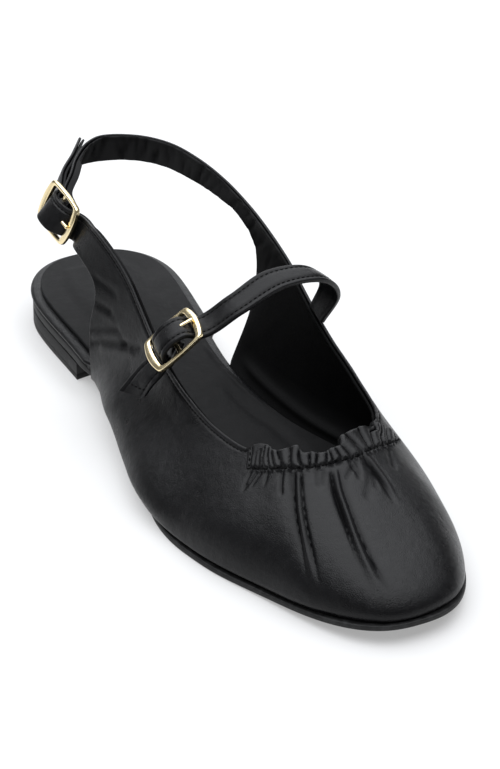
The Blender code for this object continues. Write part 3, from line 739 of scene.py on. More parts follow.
def feather(foot):
    """Point and outward normal on the sole's outline, from a section row's foot value."""
    side, normals = (OUTER_SIDE, OUTER_NORMAL) if foot < 0 else (INNER_SIDE, INNER_NORMAL)
    steps = np.linalg.norm(np.diff(side, axis=0), axis=1)
    along = np.concatenate(((0,), np.cumsum(steps)))
    target = abs(foot) / 100 * along[-1]
    point = [np.interp(target, along, side[:, axis]) for axis in (0, 1)]
    normal = [np.interp(target, along, normals[:, axis]) for axis in (0, 1)]
    x, y = point
    return np.array((x, y, sole_edge_top(x) + GAP)), unit((*normal, 0))


def section_controls(row):
    """Four control points of a section that stands on the sole."""
    foot, outward = feather(row.foot)
    top = table_point(row.x, row.y, row.z)
    flare = math.radians(row.flare)
    slope = math.radians(row.slope)
    low_handle = foot + row.rise * MM * (math.sin(flare) * outward + math.cos(flare) * UP)
    top_handle = top + row.reach * MM * (math.cos(slope) * outward - math.sin(slope) * UP)
    return np.array((foot, low_handle, top_handle, top))


def straight_controls(low, top):
    """Four control points of a flat strip's section."""
    return np.array([low + (top - low) * part for part in (0, 1 / 3, 2 / 3, 1)])


def edge_controls(row):
    """Four control points of a free section, from its two edges."""
    low = table_point(row.low_x, row.low_y, row.low_z)
    top = table_point(row.top_x, row.top_y, row.top_z)
    return straight_controls(low, top)


class BucklePlace:
    """The plane of a buckle: u runs along the strap, w across it, n out of the shoe."""

    def __init__(self, row):
        self.centre = table_point(row.x, row.y, row.z)
        self.along = unit(row.along)
        outward = np.array(row.outward) - np.dot(row.outward, self.along) * self.along
        self.outward = unit(outward)
        self.across = np.cross(self.outward, self.along)

    def at(self, u, w, n):
        """A point from its distances along, across and out of the buckle."""
        return self.centre + u * self.along + w * self.across + n * self.outward

    def strip(self, u, n, tilt=0, edges=(-STRAP_WIDTH / 2, STRAP_WIDTH / 2)):
        """Section of a strap that crosses the buckle at u with its outer face at n."""
        return straight_controls(self.at(u, edges[0], n + tilt), self.at(u, edges[1], n - tilt))

    def hump(self, row):
        """Sections of a strap under one end bar, over the centre bar and under the other end bar."""
        side = row.side * MM
        tilt = row.tilt * MM
        return [
            self.strip(-END_BAR_U, UNDER_END_BAR),
            self.strip(-HUMP_SIDE_U, side, tilt),
            self.strip(0, row.top * MM, tilt),
            self.strip(HUMP_SIDE_U, side, tilt),
            self.strip(END_BAR_U, UNDER_END_BAR),
        ]


SLING_PLACE = BucklePlace(SLING_BUCKLE)
INSTEP_PLACE = BucklePlace(INSTEP_BUCKLE)


def upper_controls():
    """Every section of the upper: sling tail, outer wing, quarters and vamp, inner wing, sling."""
    rows = [edge_controls(row) for row in OUTER_TAIL]
    rows += SLING_PLACE.hump(SLING_HUMP)
    rows += [edge_controls(row) for row in OUTER_WING]
    first_foot = len(rows)
    rows += [section_controls(row) for row in SECTIONS]
    last_foot = len(rows) - 1
    rows += [edge_controls(row) for row in INNER_SLING]
    rows.append(SLING_PLACE.strip(-END_BAR_U, UNDER_STRAP))
    rows.append(SLING_PLACE.strip(CHAPE_END_U, UNDER_CENTRE_BAR))
    return np.array(rows), (first_foot, last_foot)


def row_knots(controls):
    """Distance along the strip at each row, averaged over the section."""
    steps = np.linalg.norm(np.diff(controls, axis=0), axis=2).mean(axis=1)
    return np.concatenate(((0,), np.cumsum(steps)))


def stations(knots, spacings):
    """Places along the strip, with every row kept and a spacing for each gap between rows."""
    places = [knots[:1]]
    for start, end, spacing in zip(knots[:-1], knots[1:], spacings):
        count = max(FEWEST_STEPS, round((end - start) / spacing))
        places.append(np.linspace(start, end, count + 1)[1:])
    return np.concatenate(places)


def sections_along(controls, knots, places, corners):
    """Control points at each place; only the lower edge turns sharply at the corner rows."""
    low = smooth(knots, controls[:, :2], places, corners)
    top = smooth(knots, controls[:, 2:], places)
    return np.concatenate((low, top), axis=1)


def section_curves(controls):
    """Finely sampled curve of each section."""
    fine = np.linspace(0, 1, CURVE_SAMPLES)
    weights = np.column_stack(
        ((1 - fine) ** 3, 3 * fine * (1 - fine) ** 2, 3 * fine ** 2 * (1 - fine), fine ** 3)
    )
    return np.einsum("fk,skd->sfd", weights, controls)


class Sheet:
    """A sheet of leather through its sections: rows run along it and columns up each section."""

    def __init__(self, controls, corners, spacings, columns, crowding, trim):
        controls = np.asarray(controls)
        self.knots = row_knots(controls)
        self.places = stations(self.knots, spacings)
        sections = sections_along(controls, self.knots, self.places, corners)
        rim = EDGE_ROUND * np.array(RIM_STEPS)
        parts = 1 - (1 - np.linspace(0, 1, columns)) ** crowding
        shape = (len(self.places), columns + 2 * len(rim))
        self.base = np.empty(shape + (3,))
        self.above = np.empty(shape)
        self.below = np.empty(shape)
        for index, curve in enumerate(section_curves(sections)):
            lengths = np.linalg.norm(np.diff(curve, axis=0), axis=1)
            along = np.concatenate(((0,), np.cumsum(lengths)))
            width = along[-1] - 2 * trim
            middle = EDGE_ROUND + (width - 2 * EDGE_ROUND) * parts
            distance = np.concatenate((rim, middle, width - rim[::-1]))
            for axis in range(3):
                self.base[index, :, axis] = np.interp(trim + distance, along, curve[:, axis])
            self.above[index] = distance
            self.below[index] = width - distance
        along = np.gradient(self.base, self.places, axis=0)
        self.spread = np.linalg.norm(along, axis=2)
        self.up = unit(np.gradient(self.base, axis=1))
        self.normal = unit(np.cross(along, self.up))
        self.along = self.places[:, None]

    def offset(self, height):
        """The sheet's grid moved out by a height at each point."""
        return self.base + self.normal * np.asarray(height)[..., None]


def edge_round(distance):
    """How far a half-round edge falls back at a distance from it."""
    part = np.clip(1 - distance / EDGE_ROUND, 0, 1)
    return EDGE_ROUND * (1 - np.sqrt(1 - part * part))


def grid_line(sheet, grid, places, belows, lift):
    """Points on a grid of the sheet at places along it and distances below its top edge."""
    points = []
    for place, below in zip(places, np.broadcast_to(belows, len(places))):
        row = np.clip(np.searchsorted(sheet.places, place) - 1, 0, len(sheet.places) - 2)
        part = (place - sheet.places[row]) / (sheet.places[row + 1] - sheet.places[row])
        face = grid[row] * (1 - part) + grid[row + 1] * part
        normal = sheet.normal[row] * (1 - part) + sheet.normal[row + 1] * part
        down = sheet.below[row] * (1 - part) + sheet.below[row + 1] * part
        surface = face + lift * normal
        points.append([np.interp(below, down[::-1], surface[::-1, axis]) for axis in range(3)])
    return np.array(points)


def add_object(name, vertices, faces, material, merge=False):
    """A closed mesh with its faces out, smooth but for its sharp edges, moved onto the part."""
    mesh = bpy.data.meshes.new(name)
    mesh.from_pydata((np.asarray(vertices, float) + HEEL_BACK).tolist(), [], faces)
    work = bmesh.new()
    work.from_mesh(mesh)
    if merge:
        bmesh.ops.remove_doubles(work, verts=work.verts, dist=MERGE_DISTANCE)
    bmesh.ops.recalc_face_normals(work, faces=work.faces)
    work.to_mesh(mesh)
    work.free()
    mesh.shade_smooth()
    mesh.set_sharp_from_angle(angle=SHARP_ANGLE)
    mesh.materials.append(material)
    thing = bpy.data.objects.new(name, mesh)
    bpy.context.scene.collection.objects.link(thing)
    return thing


def place_piece(thing, node):
    """Ties a finished piece to the part: it rides on the shoe and stands for a node of it."""
    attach(thing, "root")
    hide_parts(node)


def quads_between(first, second):
    """Faces between two rows of vertex numbers."""
    return list(zip(first[:-1], first[1:], second[1:], second[:-1]))


def grid_faces(numbers):
    """Faces of a grid of vertex numbers."""
    rows = numbers.tolist()
    faces = []
    for first, second in zip(rows[:-1], rows[1:]):
        faces += quads_between(first, second)
    return faces


def ring_faces(numbers):
    """Faces of a grid of vertex numbers whose rows are closed loops."""
    return grid_faces(np.column_stack((numbers, numbers[:, 0])))


def add_shell(name, outside, inside, material):
    """A solid between two grids of the same size, closed by rims."""
    rows, columns = outside.shape[:2]
    vertices = np.concatenate((outside.reshape(-1, 3), inside.reshape(-1, 3)))
    out = np.arange(rows * columns).reshape(rows, columns)
    within = out + rows * columns
    faces = grid_faces(out) + grid_faces(within)
    rims = ((out[:, 0], within[:, 0]), (out[:, -1], within[:, -1]))
    ends = ((out[0], within[0]), (out[-1], within[-1]))
    for first, second in rims + ends:
        faces += quads_between(first.tolist(), second.tolist())
    return add_object(name, vertices, faces, material)


def set_crease_shade(shell, crease_shade):
    """Stores how deep the points of a shell lie in its folds and seams, the same on both faces, as the
    amount of painted shade laid there.
    """
    attribute = shell.data.attributes.new("crease_shade", "FLOAT", "POINT")
    attribute.data.foreach_set("value", np.tile(crease_shade.ravel(), 2).astype(np.float32))


UPPER_CONTROLS, UPPER_CORNERS = upper_controls()
UPPER_KNOTS = row_knots(UPPER_CONTROLS)
BAND_START = UPPER_KNOTS[UPPER_CORNERS[0] + BAND_FIRST_SECTION]
BAND_END = UPPER_KNOTS[UPPER_CORNERS[0] + BAND_LAST_SECTION]
BAND_LENGTH = BAND_END - BAND_START
STRIP_END = UPPER_KNOTS[-1]


def band_part(places):
    """How far along the gathered band a place is: 0 at its outer section, 1 at its inner one."""
    return (places - BAND_START) / BAND_LENGTH


def band_value(rows, part):
    """Value of a band table at parts of its length."""
    part = np.asarray(part, float)
    knots = [row.place / 100 for row in rows]
    values = [row.below * MM for row in rows]
    return smooth(knots, values, np.clip(part, 0, 1).ravel()).reshape(part.shape)


def leaning(row, below):
    """Where a groove or an end of the band is at distances below the topline, in parts of the band."""
    return (row.place + row.lean * np.minimum(below, LEAN_REACH) / (10 * MM)) / 100


def band_cover(sheet):
    """1 on the gathered band and 0 off it, with soft edges."""
    part = band_part(sheet.along)
    soft = BAND_SOFT / BAND_LENGTH
    outer = leaning(BAND_OUTER_END, sheet.below)
    inner = leaning(BAND_INNER_END, sheet.below)
    ends = ramp(part, outer - soft, outer + soft) * (1 - ramp(part, inner - soft, inner + soft))
    edge = band_value(BAND_EDGE, part)
    return ends * (1 - ramp(sheet.below, edge - BAND_SOFT / 2, edge + BAND_SOFT / 2))


def rib_pillows(sheet):
    """Rounded gathers between the grooves, from 0 in a groove to 1 on a crown, and their widths."""
    part = band_part(sheet.along) + 0 * sheet.below
    pillow = np.zeros_like(part)
    width = np.zeros_like(part)
    for first, second in zip(RIBS[:-1], RIBS[1:]):
        start = leaning(first, sheet.below)
        end = leaning(second, sheet.below)
        across = (part - start) / (end - start)
        within = (across >= 0) & (across < 1)
        crown = np.clip(4 * across * (1 - across), 0, 1) ** RIB_ROUND
        pillow = np.where(within, crown, pillow)
        width = np.where(within, (end - start) * BAND_LENGTH * sheet.spread, width)
    return pillow, width


def band_seam(sheet):
    """1 along the seam on the band's lower edge and outer end, 0 off it."""
    part = band_part(sheet.along)
    edge = band_value(BAND_EDGE, part)
    outer = leaning(BAND_OUTER_END, sheet.below)
    inner = leaning(BAND_INNER_END, sheet.below)
    on_band = ramp(part, outer - SEAM_FADE, outer) * (1 - ramp(part, inner, inner + SEAM_FADE))
    seam = on_band * bump(sheet.below - edge + SEAM_INSET, SEAM_WIDTH)
    from_end = (part - outer) * BAND_LENGTH * sheet.spread
    return np.maximum(seam, bump(from_end - SEAM_INSET, SEAM_WIDTH) * (sheet.below < edge))


def band_relief(sheet):
    """The band's step and gathers, and its sunk seam."""
    pillow, width = rib_pillows(sheet)
    rib = RIB_HEIGHT * np.sqrt(width / RIB_WIDTH) * (pillow - RIB_LEVEL)
    relief = band_cover(sheet) * (BAND_STEP + rib * ramp(sheet.below, 0, RIB_RIM))
    seam = band_seam(sheet)
    return relief * (1 - seam) - SEAM_DEPTH * seam


def fold_parts(sheet, rows):
    """Height of a fold's ridge and depth of its two troughs; it fades out from the band to the toe."""
    knots = [row.below * MM for row in rows]
    at = np.clip(sheet.below, knots[0], knots[-1])

    def column(values):
        return smooth(knots, values, at.ravel()).reshape(at.shape)

    outer = column([row.outer / 100 for row in rows])
    inner = column([row.inner / 100 for row in rows])
    part = band_part(sheet.along)
    scale = BAND_LENGTH * sheet.spread
    middle = (outer + inner) / 2
    ridge = column([row.ridge * MM for row in rows]) * bump((part - middle) * scale, FOLD_RIDGE_WIDTH)
    outer_depth = column([row.outer_depth * MM for row in rows])
    inner_depth = column([row.inner_depth * MM for row in rows])
    trough = outer_depth * crease((part - outer) * scale, FOLD_OUTER_WIDTH)
    trough += inner_depth * crease((part - inner) * scale, FOLD_INNER_WIDTH)
    fade = ramp(sheet.below, knots[0], knots[0] + FOLD_FADE)
    return ridge * fade, trough * fade


def crease_relief(sheet):
    """Soft creases in the outer wing, and gathers that run on below the band."""
    relief = np.zeros_like(sheet.below)
    for row in CREASES:
        run_along = (row.end_along - row.start_along) * MM * sheet.spread
        run_down = (row.end_below - row.start_below) * MM
        along = (sheet.along - BAND_START - row.start_along * MM) * sheet.spread
        down = sheet.below - row.start_below * MM
        part = np.clip((along * run_along + down * run_down) / (run_along ** 2 + run_down ** 2), 0, 1)
        away = np.hypot(along - part * run_along, down - part * run_down)
        relief -= row.depth * MM * bump(away, row.width * MM)
    return relief


def dent_relief(sheet):
    """Shallow dents and swells of the leather."""
    relief = np.zeros_like(sheet.below)
    for row in DENTS:
        along = (sheet.along - BAND_START - row.along * MM) / (row.reach_along * MM)
        down = (sheet.below - row.below * MM) / (row.reach_down * MM)
        relief -= row.depth * MM * np.exp(-(along ** 2) - down ** 2)
    return relief


def quarter_swell(sheet):
    """How far the outer quarter stands out over the waist of the sole."""
    first = UPPER_KNOTS[UPPER_CORNERS[0]]
    span = ramp(sheet.along, first, first + SWELL_RISE)
    span = span * (1 - ramp(sheet.along, BAND_START - SWELL_FALL, BAND_START - SWELL_GONE))
    profile = ramp(sheet.above, 0, SWELL_PEAK) * (1 - ramp(sheet.above, SWELL_PEAK, SWELL_TOP))
    return SWELL_HEIGHT * span * profile


def on_sole(sheet):
    """1 where the upper's lower edge stands on the sole, 0 where it is free."""
    first, last = (UPPER_KNOTS[corner] for corner in UPPER_CORNERS)
    return ramp(sheet.along, first, first + FOOT_FADE) * (1 - ramp(sheet.along, last - FOOT_FADE, last))


def upper_relief(sheet):
    """Height of the leather's outer face over the plain sheet."""
    relief = band_relief(sheet) + crease_relief(sheet) + dent_relief(sheet)
    for rows in FOLDS:
        ridge, trough = fold_parts(sheet, rows)
        relief += ridge - trough
    plain = 1 - band_cover(sheet)
    relief -= plain * STITCH_GROOVE * bump(sheet.below - TOPLINE_STITCH, STITCH_GROOVE_WIDTH)
    relief -= on_sole(sheet) * FEATHER_PINCH * (1 - ramp(sheet.above, 0, FEATHER_ROUND))
    return relief


def upper_crease_shade(sheet):
    """How deep the leather lies in a fold, gather or seam, from 0 to 1; painted shade is laid there."""
    crease_shade = -crease_relief(sheet) / CREASE_SHADE_DEPTH
    for rows in FOLDS:
        crease_shade += fold_parts(sheet, rows)[1] / CREASE_SHADE_DEPTH
    pillow, width = rib_pillows(sheet)
    groove = band_cover(sheet) * (width > 0) * (1 - pillow) ** GROOVE_NARROWING
    stitch = (1 - band_cover(sheet)) * bump(sheet.below - TOPLINE_STITCH, STITCH_GROOVE_WIDTH)
    seam = SEAM_SHADE * np.maximum(band_seam(sheet), stitch)
    return np.clip(np.maximum(np.maximum(crease_shade, groove), seam), 0, 1)


def band_drop(sheet):
    """How far points near the band's top edge slide down: its sag and the scallops of its gathers."""
    part = band_part(sheet.along)
    pillow, width = rib_pillows(sheet)
    drop = band_value(BAND_SAG, part) + (part < 1) * RIB_SCALLOP * width * (1 - pillow)
    return drop * (1 - ramp(sheet.below, 0, SAG_REACH))


def upper_sheet(trim, fine):
    """The upper's sheet with the sag of the band, whose part of the mesh has a spacing of its own."""
    spacings = np.full(len(UPPER_CONTROLS) - 1, COARSE_SPACING)
    foot = UPPER_CORNERS[0]
    spacings[foot + BAND_FIRST_SECTION:foot + BAND_LAST_SECTION] = fine
    sheet = Sheet(UPPER_CONTROLS, UPPER_CORNERS, spacings, SECTION_COLUMNS, SECTION_CROWDING, trim)
    sheet.base = sheet.base - sheet.up * band_drop(sheet)[..., None]
    return sheet


def upper_edge(sheet):
    """How far the upper's round edges fall back; where it stands on the sole its foot stays square."""
    return edge_round(sheet.below) + (1 - on_sole(sheet)) * edge_round(sheet.above)


def lining_thickness(sheet):
    """The lining is thin on the strap, and thicker in the wings and round the foot."""
    first, last = UPPER_CORNERS
    outer_thin = UPPER_KNOTS[first - LINING_THIN_SECTIONS]
    outer_full = UPPER_KNOTS[first - LINING_FULL_SECTIONS]
    inner_full = UPPER_KNOTS[last + LINING_FULL_SECTIONS]
    inner_thin = UPPER_KNOTS[last + LINING_THIN_SECTIONS]
    outer = ramp(sheet.along, outer_thin, outer_full)
    inner = 1 - ramp(sheet.along, inner_full, inner_thin)
    return STRAP_LINING + (LINING - STRAP_LINING) * outer * inner + 0 * sheet.below


def sling_wrinkles(sheet):
    """Depth of the wrinkles across the sling's lining."""
    chance = np.random.default_rng(WRINKLE_SEED)
    relief = np.zeros_like(sheet.below)
    for place in np.linspace(WRINKLE_START, WRINKLE_END, WRINKLE_COUNT):
        middle = BAND_START + place + chance.uniform(*WRINKLE_SHIFT) * MM
        lean = chance.uniform(*WRINKLE_LEAN)
        reach = chance.uniform(*WRINKLE_REACH) * MM
        start = chance.uniform(*WRINKLE_BELOW) * MM
        depth = WRINKLE_DEPTH * chance.uniform(*WRINKLE_PART)
        away = sheet.along - middle - lean * sheet.below
        relief += depth * bump(away, WRINKLE_WIDTH) * bump(sheet.below - start, reach)
    return relief


def lining_relief(sheet):
    """Wrinkles in the sling, the step of its folded-back end, and a roll along the inner side's foot."""
    fold_start = STRIP_END - FOLD_BACK_LENGTH
    step = ramp(sheet.along, fold_start, fold_start + FOLD_BACK_FADE)
    last = UPPER_KNOTS[UPPER_CORNERS[1]]
    medial = ramp(sheet.along, BAND_END, BAND_END + ROLL_FADE)
    medial = medial * (1 - ramp(sheet.along, last - ROLL_FADE, last))
    roll = ROLL_HEIGHT * medial * bump(sheet.above - ROLL_ABOVE, ROLL_WIDTH)
    return sling_wrinkles(sheet) - FOLD_BACK_STEP * step - roll


def build_upper_leather(material):
    """The outer leather with its gathers, folds and creases."""
    sheet = upper_sheet(0, FINE_SPACING)
    edge = upper_edge(sheet)
    relief = upper_relief(sheet)
    swell = quarter_swell(sheet)
    outside = sheet.offset(relief + swell - edge)
    inside = sheet.offset(edge + swell - LEATHER + np.minimum(relief + LEATHER / 2, 0))
    piece = add_shell("upper_leather", outside, inside, material)
    set_crease_shade(piece, upper_crease_shade(sheet))
    place_piece(piece, "upper")
    return sheet, outside


def build_upper_lining(material):
    """The lining behind the outer leather, which gapes a little at the topline."""
    sheet = upper_sheet(LINING_TRIM, LINING_SPACING)
    thickness = lining_thickness(sheet)
    thin = LINING_ROUND * upper_edge(sheet) * thickness / EDGE_ROUND
    gape = RIM_GAPE * (1 - ramp(sheet.below, 0, RIM_GAPE_REACH))
    back = quarter_swell(sheet) - LEATHER - LINING_GAP - gape
    face = sheet.offset(lining_relief(sheet) + back - thickness + thin)
    piece = add_shell("upper_lining", sheet.offset(back - thin), face, material)
    # Painted shade in the sling's wrinkles
    set_crease_shade(piece, np.clip(sling_wrinkles(sheet) / WRINKLE_DEPTH, 0, 1))
    place_piece(piece, "upper")
    return sheet, face


def strap_sheet(rows):
    """The sheet of a strap through its sections."""
    controls = np.array(rows)
    return Sheet(controls, (), [STRAP_SPACING] * (len(controls) - 1), STRAP_COLUMNS, 1, 0)


def strap_relief(sheet):
    """A strap's crown, and 1 in the groove for the stitches along both edges."""
    half = STRAP_WIDTH / 2
    crown = STRAP_CROWN * (1 - ((sheet.above - half) / half) ** 2)
    nearest = np.minimum(sheet.above, sheet.below)
    return crown, bump(nearest - STRAP_STITCH, STITCH_GROOVE_WIDTH)


def build_strip(name, rows, node, material):
    """A stitched strap of even thickness with round edges through its sections."""
    sheet = strap_sheet(rows)
    edge = edge_round(sheet.above) + edge_round(sheet.below)
    crown, groove = strap_relief(sheet)
    outside = sheet.offset(crown - STITCH_GROOVE * groove - edge)
    inside = sheet.offset(edge - STRAP_THICKNESS)
    piece = add_shell(name, outside, inside, material)
    # Painted shade in the stitch grooves along the strap's edges
    set_crease_shade(piece, STRAP_SHADE * groove)
    place_piece(piece, node)
    return sheet, outside


def build_instep_strap(material):
    """The strap over the instep, through its buckle and down to its tail."""
    rows = [edge_controls(row) for row in STRAP_OVER]
    rows += [section[::-1] for section in INSTEP_PLACE.hump(INSTEP_HUMP)[::-1]]
    rows += [edge_controls(row) for row in STRAP_TAIL]
    return build_strip("instep_strap_leather", rows, "instep_strap", material)


def build_instep_tab(lining, face, material):
    """The short strap that holds the buckle, sewn to the inside of the outer quarter."""
    places = (BAND_START + TAB_FRONT, BAND_START + TAB_REAR)
    rows = []
    for below in TAB_BELOW:
        front, rear = grid_line(lining, face, places, below * MM, -TAB_GAP)
        rows.append(straight_controls(front, rear))
    rows.append(INSTEP_PLACE.strip(-END_BAR_U / 2, UNDER_STRAP, 0, TAB_EDGES))
    rows.append(INSTEP_PLACE.strip(CHAPE_END_U, UNDER_CENTRE_BAR, 0, TAB_EDGES))
    return build_strip("instep_tab_leather", rows, "instep_tab", material)


def sole_sides(inset):
    """Both sides of the outline moved inwards by a distance that may change along the shoe."""
    sides = []
    for side, normals in ((OUTER_SIDE, OUTER_NORMAL), (INNER_SIDE, INNER_NORMAL)):
        depth = np.broadcast_to(inset(side[:, 0]), len(side))
        sides.append(side - normals * depth[:, None])
    return sides


def add_sole_layer(name, rings, relief, material):
    """A solid skinned through loops from bottom to top; its top face rises by a relief."""
    loops = []
    for inset, height in rings:
        outer, inner = sole_sides(inset)
        flat = np.vstack((outer, inner[-2:0:-1]))
        loops.append(np.column_stack((flat, height(flat[:, 0]))))
    count = len(loops[0])
    vertices = list(loops)
    numbers = np.arange(count * len(loops)).reshape(len(loops), count)
    faces = ring_faces(numbers)
    first = count * len(loops)
    for (inset, height), lift in ((rings[0], None), (rings[-1], relief)):
        outer, inner = sole_sides(inset)
        part = 0.5 - 0.5 * np.cos(np.linspace(0, math.pi, SOLE_COLUMNS + 1))[None, :, None]
        grid = outer[:, None] + (inner - outer)[:, None] * part
        level = height(grid[..., 0])
        if lift:
            level = level + lift(grid, outer, inner)
        cap = np.concatenate((grid, level[..., None]), axis=2)
        cap_numbers = first + np.arange(grid.shape[0] * grid.shape[1]).reshape(grid.shape[:2])
        first += cap_numbers.size
        vertices.append(cap.reshape(-1, 3))
        faces += grid_faces(cap_numbers)
    return add_object(name, np.vstack(vertices), faces, material, merge=True)


def sole_inset(x):
    """How far the sole stands in under the board and the waist of the upper, or out in front."""
    waist = HEEL_INSET + (WAIST_INSET - HEEL_INSET) * ramp(x, HEEL_BREAST_X, WING_FOOT_X)
    return waist - (WAIST_INSET + SOLE_LIP) * ramp(x, WAIST_END_X - WAIST_FADE, WAIST_END_X + WAIST_FADE)


def build_outsole(material):
    """The thin sole, its side skinned through the rows of SOLE_SIDE."""
    def side_ring(row):
        def height(x):
            return sole_bottom(x) + row.rise * (sole_edge_top(x) - sole_bottom(x))

        return lambda x: sole_inset(x) + row.inset * MM, height

    piece = add_sole_layer("outsole_rubber", [side_ring(row) for row in SOLE_SIDE], None, material)
    place_piece(piece, "outsole")


def board_inset(x):
    """The board is full width at the open heel and fits inside the upper's wall in front."""
    front = BOARD_FRONT_INSET * ramp(x, WING_FOOT_X - BOARD_STEP_LENGTH, WING_FOOT_X)
    return front + BOARD_TOE_INSET * ramp(x, TOE_CAP_X, LENGTH)


def build_insole_board(material):
    """The wrapped board: its round edge is skinned through the rows of BOARD_EDGE."""
    def edge_ring(row):
        def height(x):
            bottom = sole_top(x) + GAP
            return bottom + row.height * (board_top(x) - bottom)

        return lambda x: board_inset(x) + row.inset * BOARD_EDGE_ROUND, height

    piece = add_sole_layer("board_leather", [edge_ring(row) for row in BOARD_EDGE], None, material)
    place_piece(piece, "insole_board")


def sock_inset(x):
    """The sock leaves a margin on the board at the heel and nearly fills it in front."""
    margin = SOCK_MARGIN + (SOCK_FRONT_MARGIN - SOCK_MARGIN) * ramp(x, WING_FOOT_X, ARCH_END_X)
    return board_inset(x) + margin


def sock_relief(grid, outer, inner):
    """Padded seat under the heel with a soft edge, a crease under the throat, and a curled inner edge."""
    to_outer = np.linalg.norm(grid - outer[:, None], axis=2)
    to_inner = np.linalg.norm(grid - inner[:, None], axis=2)
    margin = np.minimum(np.minimum(to_outer, to_inner), grid[..., 0] - outer[:, 0].min())
    pad = ramp(margin, PAD_MARGIN, PAD_MARGIN + PAD_SOFT)
    x, y = grid[..., 0], grid[..., 1]
    relief = PAD_HEIGHT * pad * (1 - ramp(x, PAD_END_X - PAD_FADE, PAD_END_X))
    knots = [row.x for row in SOCK_CREASE]
    middle = smooth(knots, [row.y for row in SOCK_CREASE], np.clip(x, knots[0], knots[-1]).ravel())
    span = ramp(x, knots[0], knots[1]) * (1 - ramp(x, knots[-2], knots[-1]))
    relief -= SOCK_CREASE_DEPTH * span * bump(y - middle.reshape(x.shape), SOCK_CREASE_WIDTH)
    span = ramp(x, SOCK_CURL_START_X, SOCK_CURL_START_X + SOCK_CURL_FADE)
    span = span * (1 - ramp(x, SOCK_CURL_END_X - SOCK_CURL_FADE, SOCK_CURL_END_X))
    short, long = SOCK_RAG_LENGTHS
    ragged = 1 - SOCK_RAGGED + SOCK_RAGGED * np.sin(x / short) * np.sin(x / long)
    curl = bump(to_inner - SOCK_CURL_INSET, SOCK_CURL_WIDTH) * ramp(to_inner, 0, SOCK_EDGE)
    return relief + SOCK_CURL * ragged * span * curl


def build_insole(material):
    """The sock on the board, with a round upper edge."""
    def ring(inset, drop):
        def height(x):
            return board_top(x) + GAP + SOCK_THICKNESS - drop

        return lambda x: sock_inset(x) + inset, height

    rings = [ring(0, SOCK_THICKNESS)]
    rings += [ring(row.inset * SOCK_EDGE, row.drop * SOCK_EDGE) for row in SOCK_ROUND]
    piece = add_sole_layer("sock_leather", rings, sock_relief, material)
    place_piece(piece, "insole")


def build_heel_lift(material):
    """Low block under the heel seat with its walking layer, its front face slightly concave."""
    heel = OUTER_SIDE[:, 0] < HEEL_FRONT_X - 2 * BREAST_HOLLOW
    outer = (OUTER_SIDE - OUTER_NORMAL * HEEL_INSET)[heel]
    inner = (INNER_SIDE - INNER_NORMAL * HEEL_INSET)[heel]
    part = np.linspace(0, 1, BREAST_STEPS + 1)[1:-1, None]
    front_outer = np.array((HEEL_FRONT_X, outer[0, 1]))
    front_inner = np.array((HEEL_FRONT_X, inner[0, 1]))
    breast = front_inner + (front_outer - front_inner) * part
    breast[:, 0] -= BREAST_HOLLOW * np.sin(math.pi * part[:, 0])
    loop = np.vstack((front_outer[None], outer, inner[-2::-1], front_inner[None], breast))
    middle = np.array((HEEL_FRONT_X / 2, 0))
    rings = []
    for row in HEEL_SIDE:
        inward = unit(middle - loop) * row.inset * MM
        rings.append(np.column_stack((loop + inward, np.full(len(loop), row.height * MM))))
    numbers = np.arange(len(loop) * len(rings)).reshape(len(rings), len(loop))
    faces = [tuple(numbers[0].tolist()), tuple(numbers[-1].tolist())] + ring_faces(numbers)
    piece = add_object("heel_rubber", np.vstack(rings), faces, material)
    place_piece(piece, "heel_lift")


def sweep(points, wide, high, power, closed):
    """Vertices and faces of a bar along points, with its half width and half height as vectors."""
    angles = np.arange(TUBE_SIDES) * 2 * math.pi / TUBE_SIDES
    rings = []
    for angle in angles:
        across = math.copysign(abs(math.cos(angle)) ** (2 / power), math.cos(angle))
        out = math.copysign(abs(math.sin(angle)) ** (2 / power), math.sin(angle))
        rings.append(points + across * wide + out * high)
    vertices = np.stack(rings, axis=1)
    numbers = np.arange(len(points) * TUBE_SIDES).reshape(len(points), TUBE_SIDES)
    faces = ring_faces(np.vstack((numbers, numbers[:1])) if closed else numbers)
    if not closed:
        faces += [tuple(numbers[0].tolist()), tuple(numbers[-1].tolist())]
    return vertices.reshape(-1, 3), faces


def pin(points, radii, normal):
    """A round bar along points that lie in the plane of a normal."""
    points = np.asarray(points, float)
    side = unit(np.cross(unit(np.gradient(points, axis=0)), normal))
    radii = np.broadcast_to(radii, len(points))[:, None]
    return sweep(points, side * radii, np.asarray(normal) * radii, 2, False)


def bowed_loop(row):
    """Closed outline of a rectangle with bowed sides and slightly round corners, in the buckle's plane."""
    side = np.linspace(-1, 1, BUCKLE_SIDE_STEPS, endpoint=False)
    bow = 1 - side ** 2
    end_bar = np.column_stack((row.half_length + row.end_bow * bow, row.half_width * side))
    long_side = np.column_stack((-row.half_length * side, row.half_width + row.side_bow * bow))
    half = np.vstack((end_bar, long_side))
    loop = np.vstack((half, -half)) * MM
    for _ in range(BUCKLE_SMOOTHING):
        loop = (np.roll(loop, 1, axis=0) + 2 * loop + np.roll(loop, -1, axis=0)) / 4
    return loop


def build_buckle(name, place, material):
    """Bowed frame with wider end bars, and its centre bar."""
    outer = np.array([place.at(u, w, 0) for u, w in bowed_loop(BUCKLE_OUTER)])
    inner = np.array([place.at(u, w, 0) for u, w in bowed_loop(BUCKLE_INNER)])
    high = place.outward * WIRE_HEIGHT
    shape = sweep((outer + inner) / 2, (outer - inner) / 2, high, WIRE_POWER, True)
    frame_piece = add_object(name + "_frame", *shape, material)
    reach = (BUCKLE_OUTER.half_width + BUCKLE_INNER.half_width) / 2 * MM
    ends = [place.at(0, w, 0) for w in np.linspace(-reach, reach, BAR_STEPS)]
    bar = add_object(name + "_bar", *pin(ends, BAR, place.outward), material)
    for piece in (frame_piece, bar):
        place_piece(piece, name)


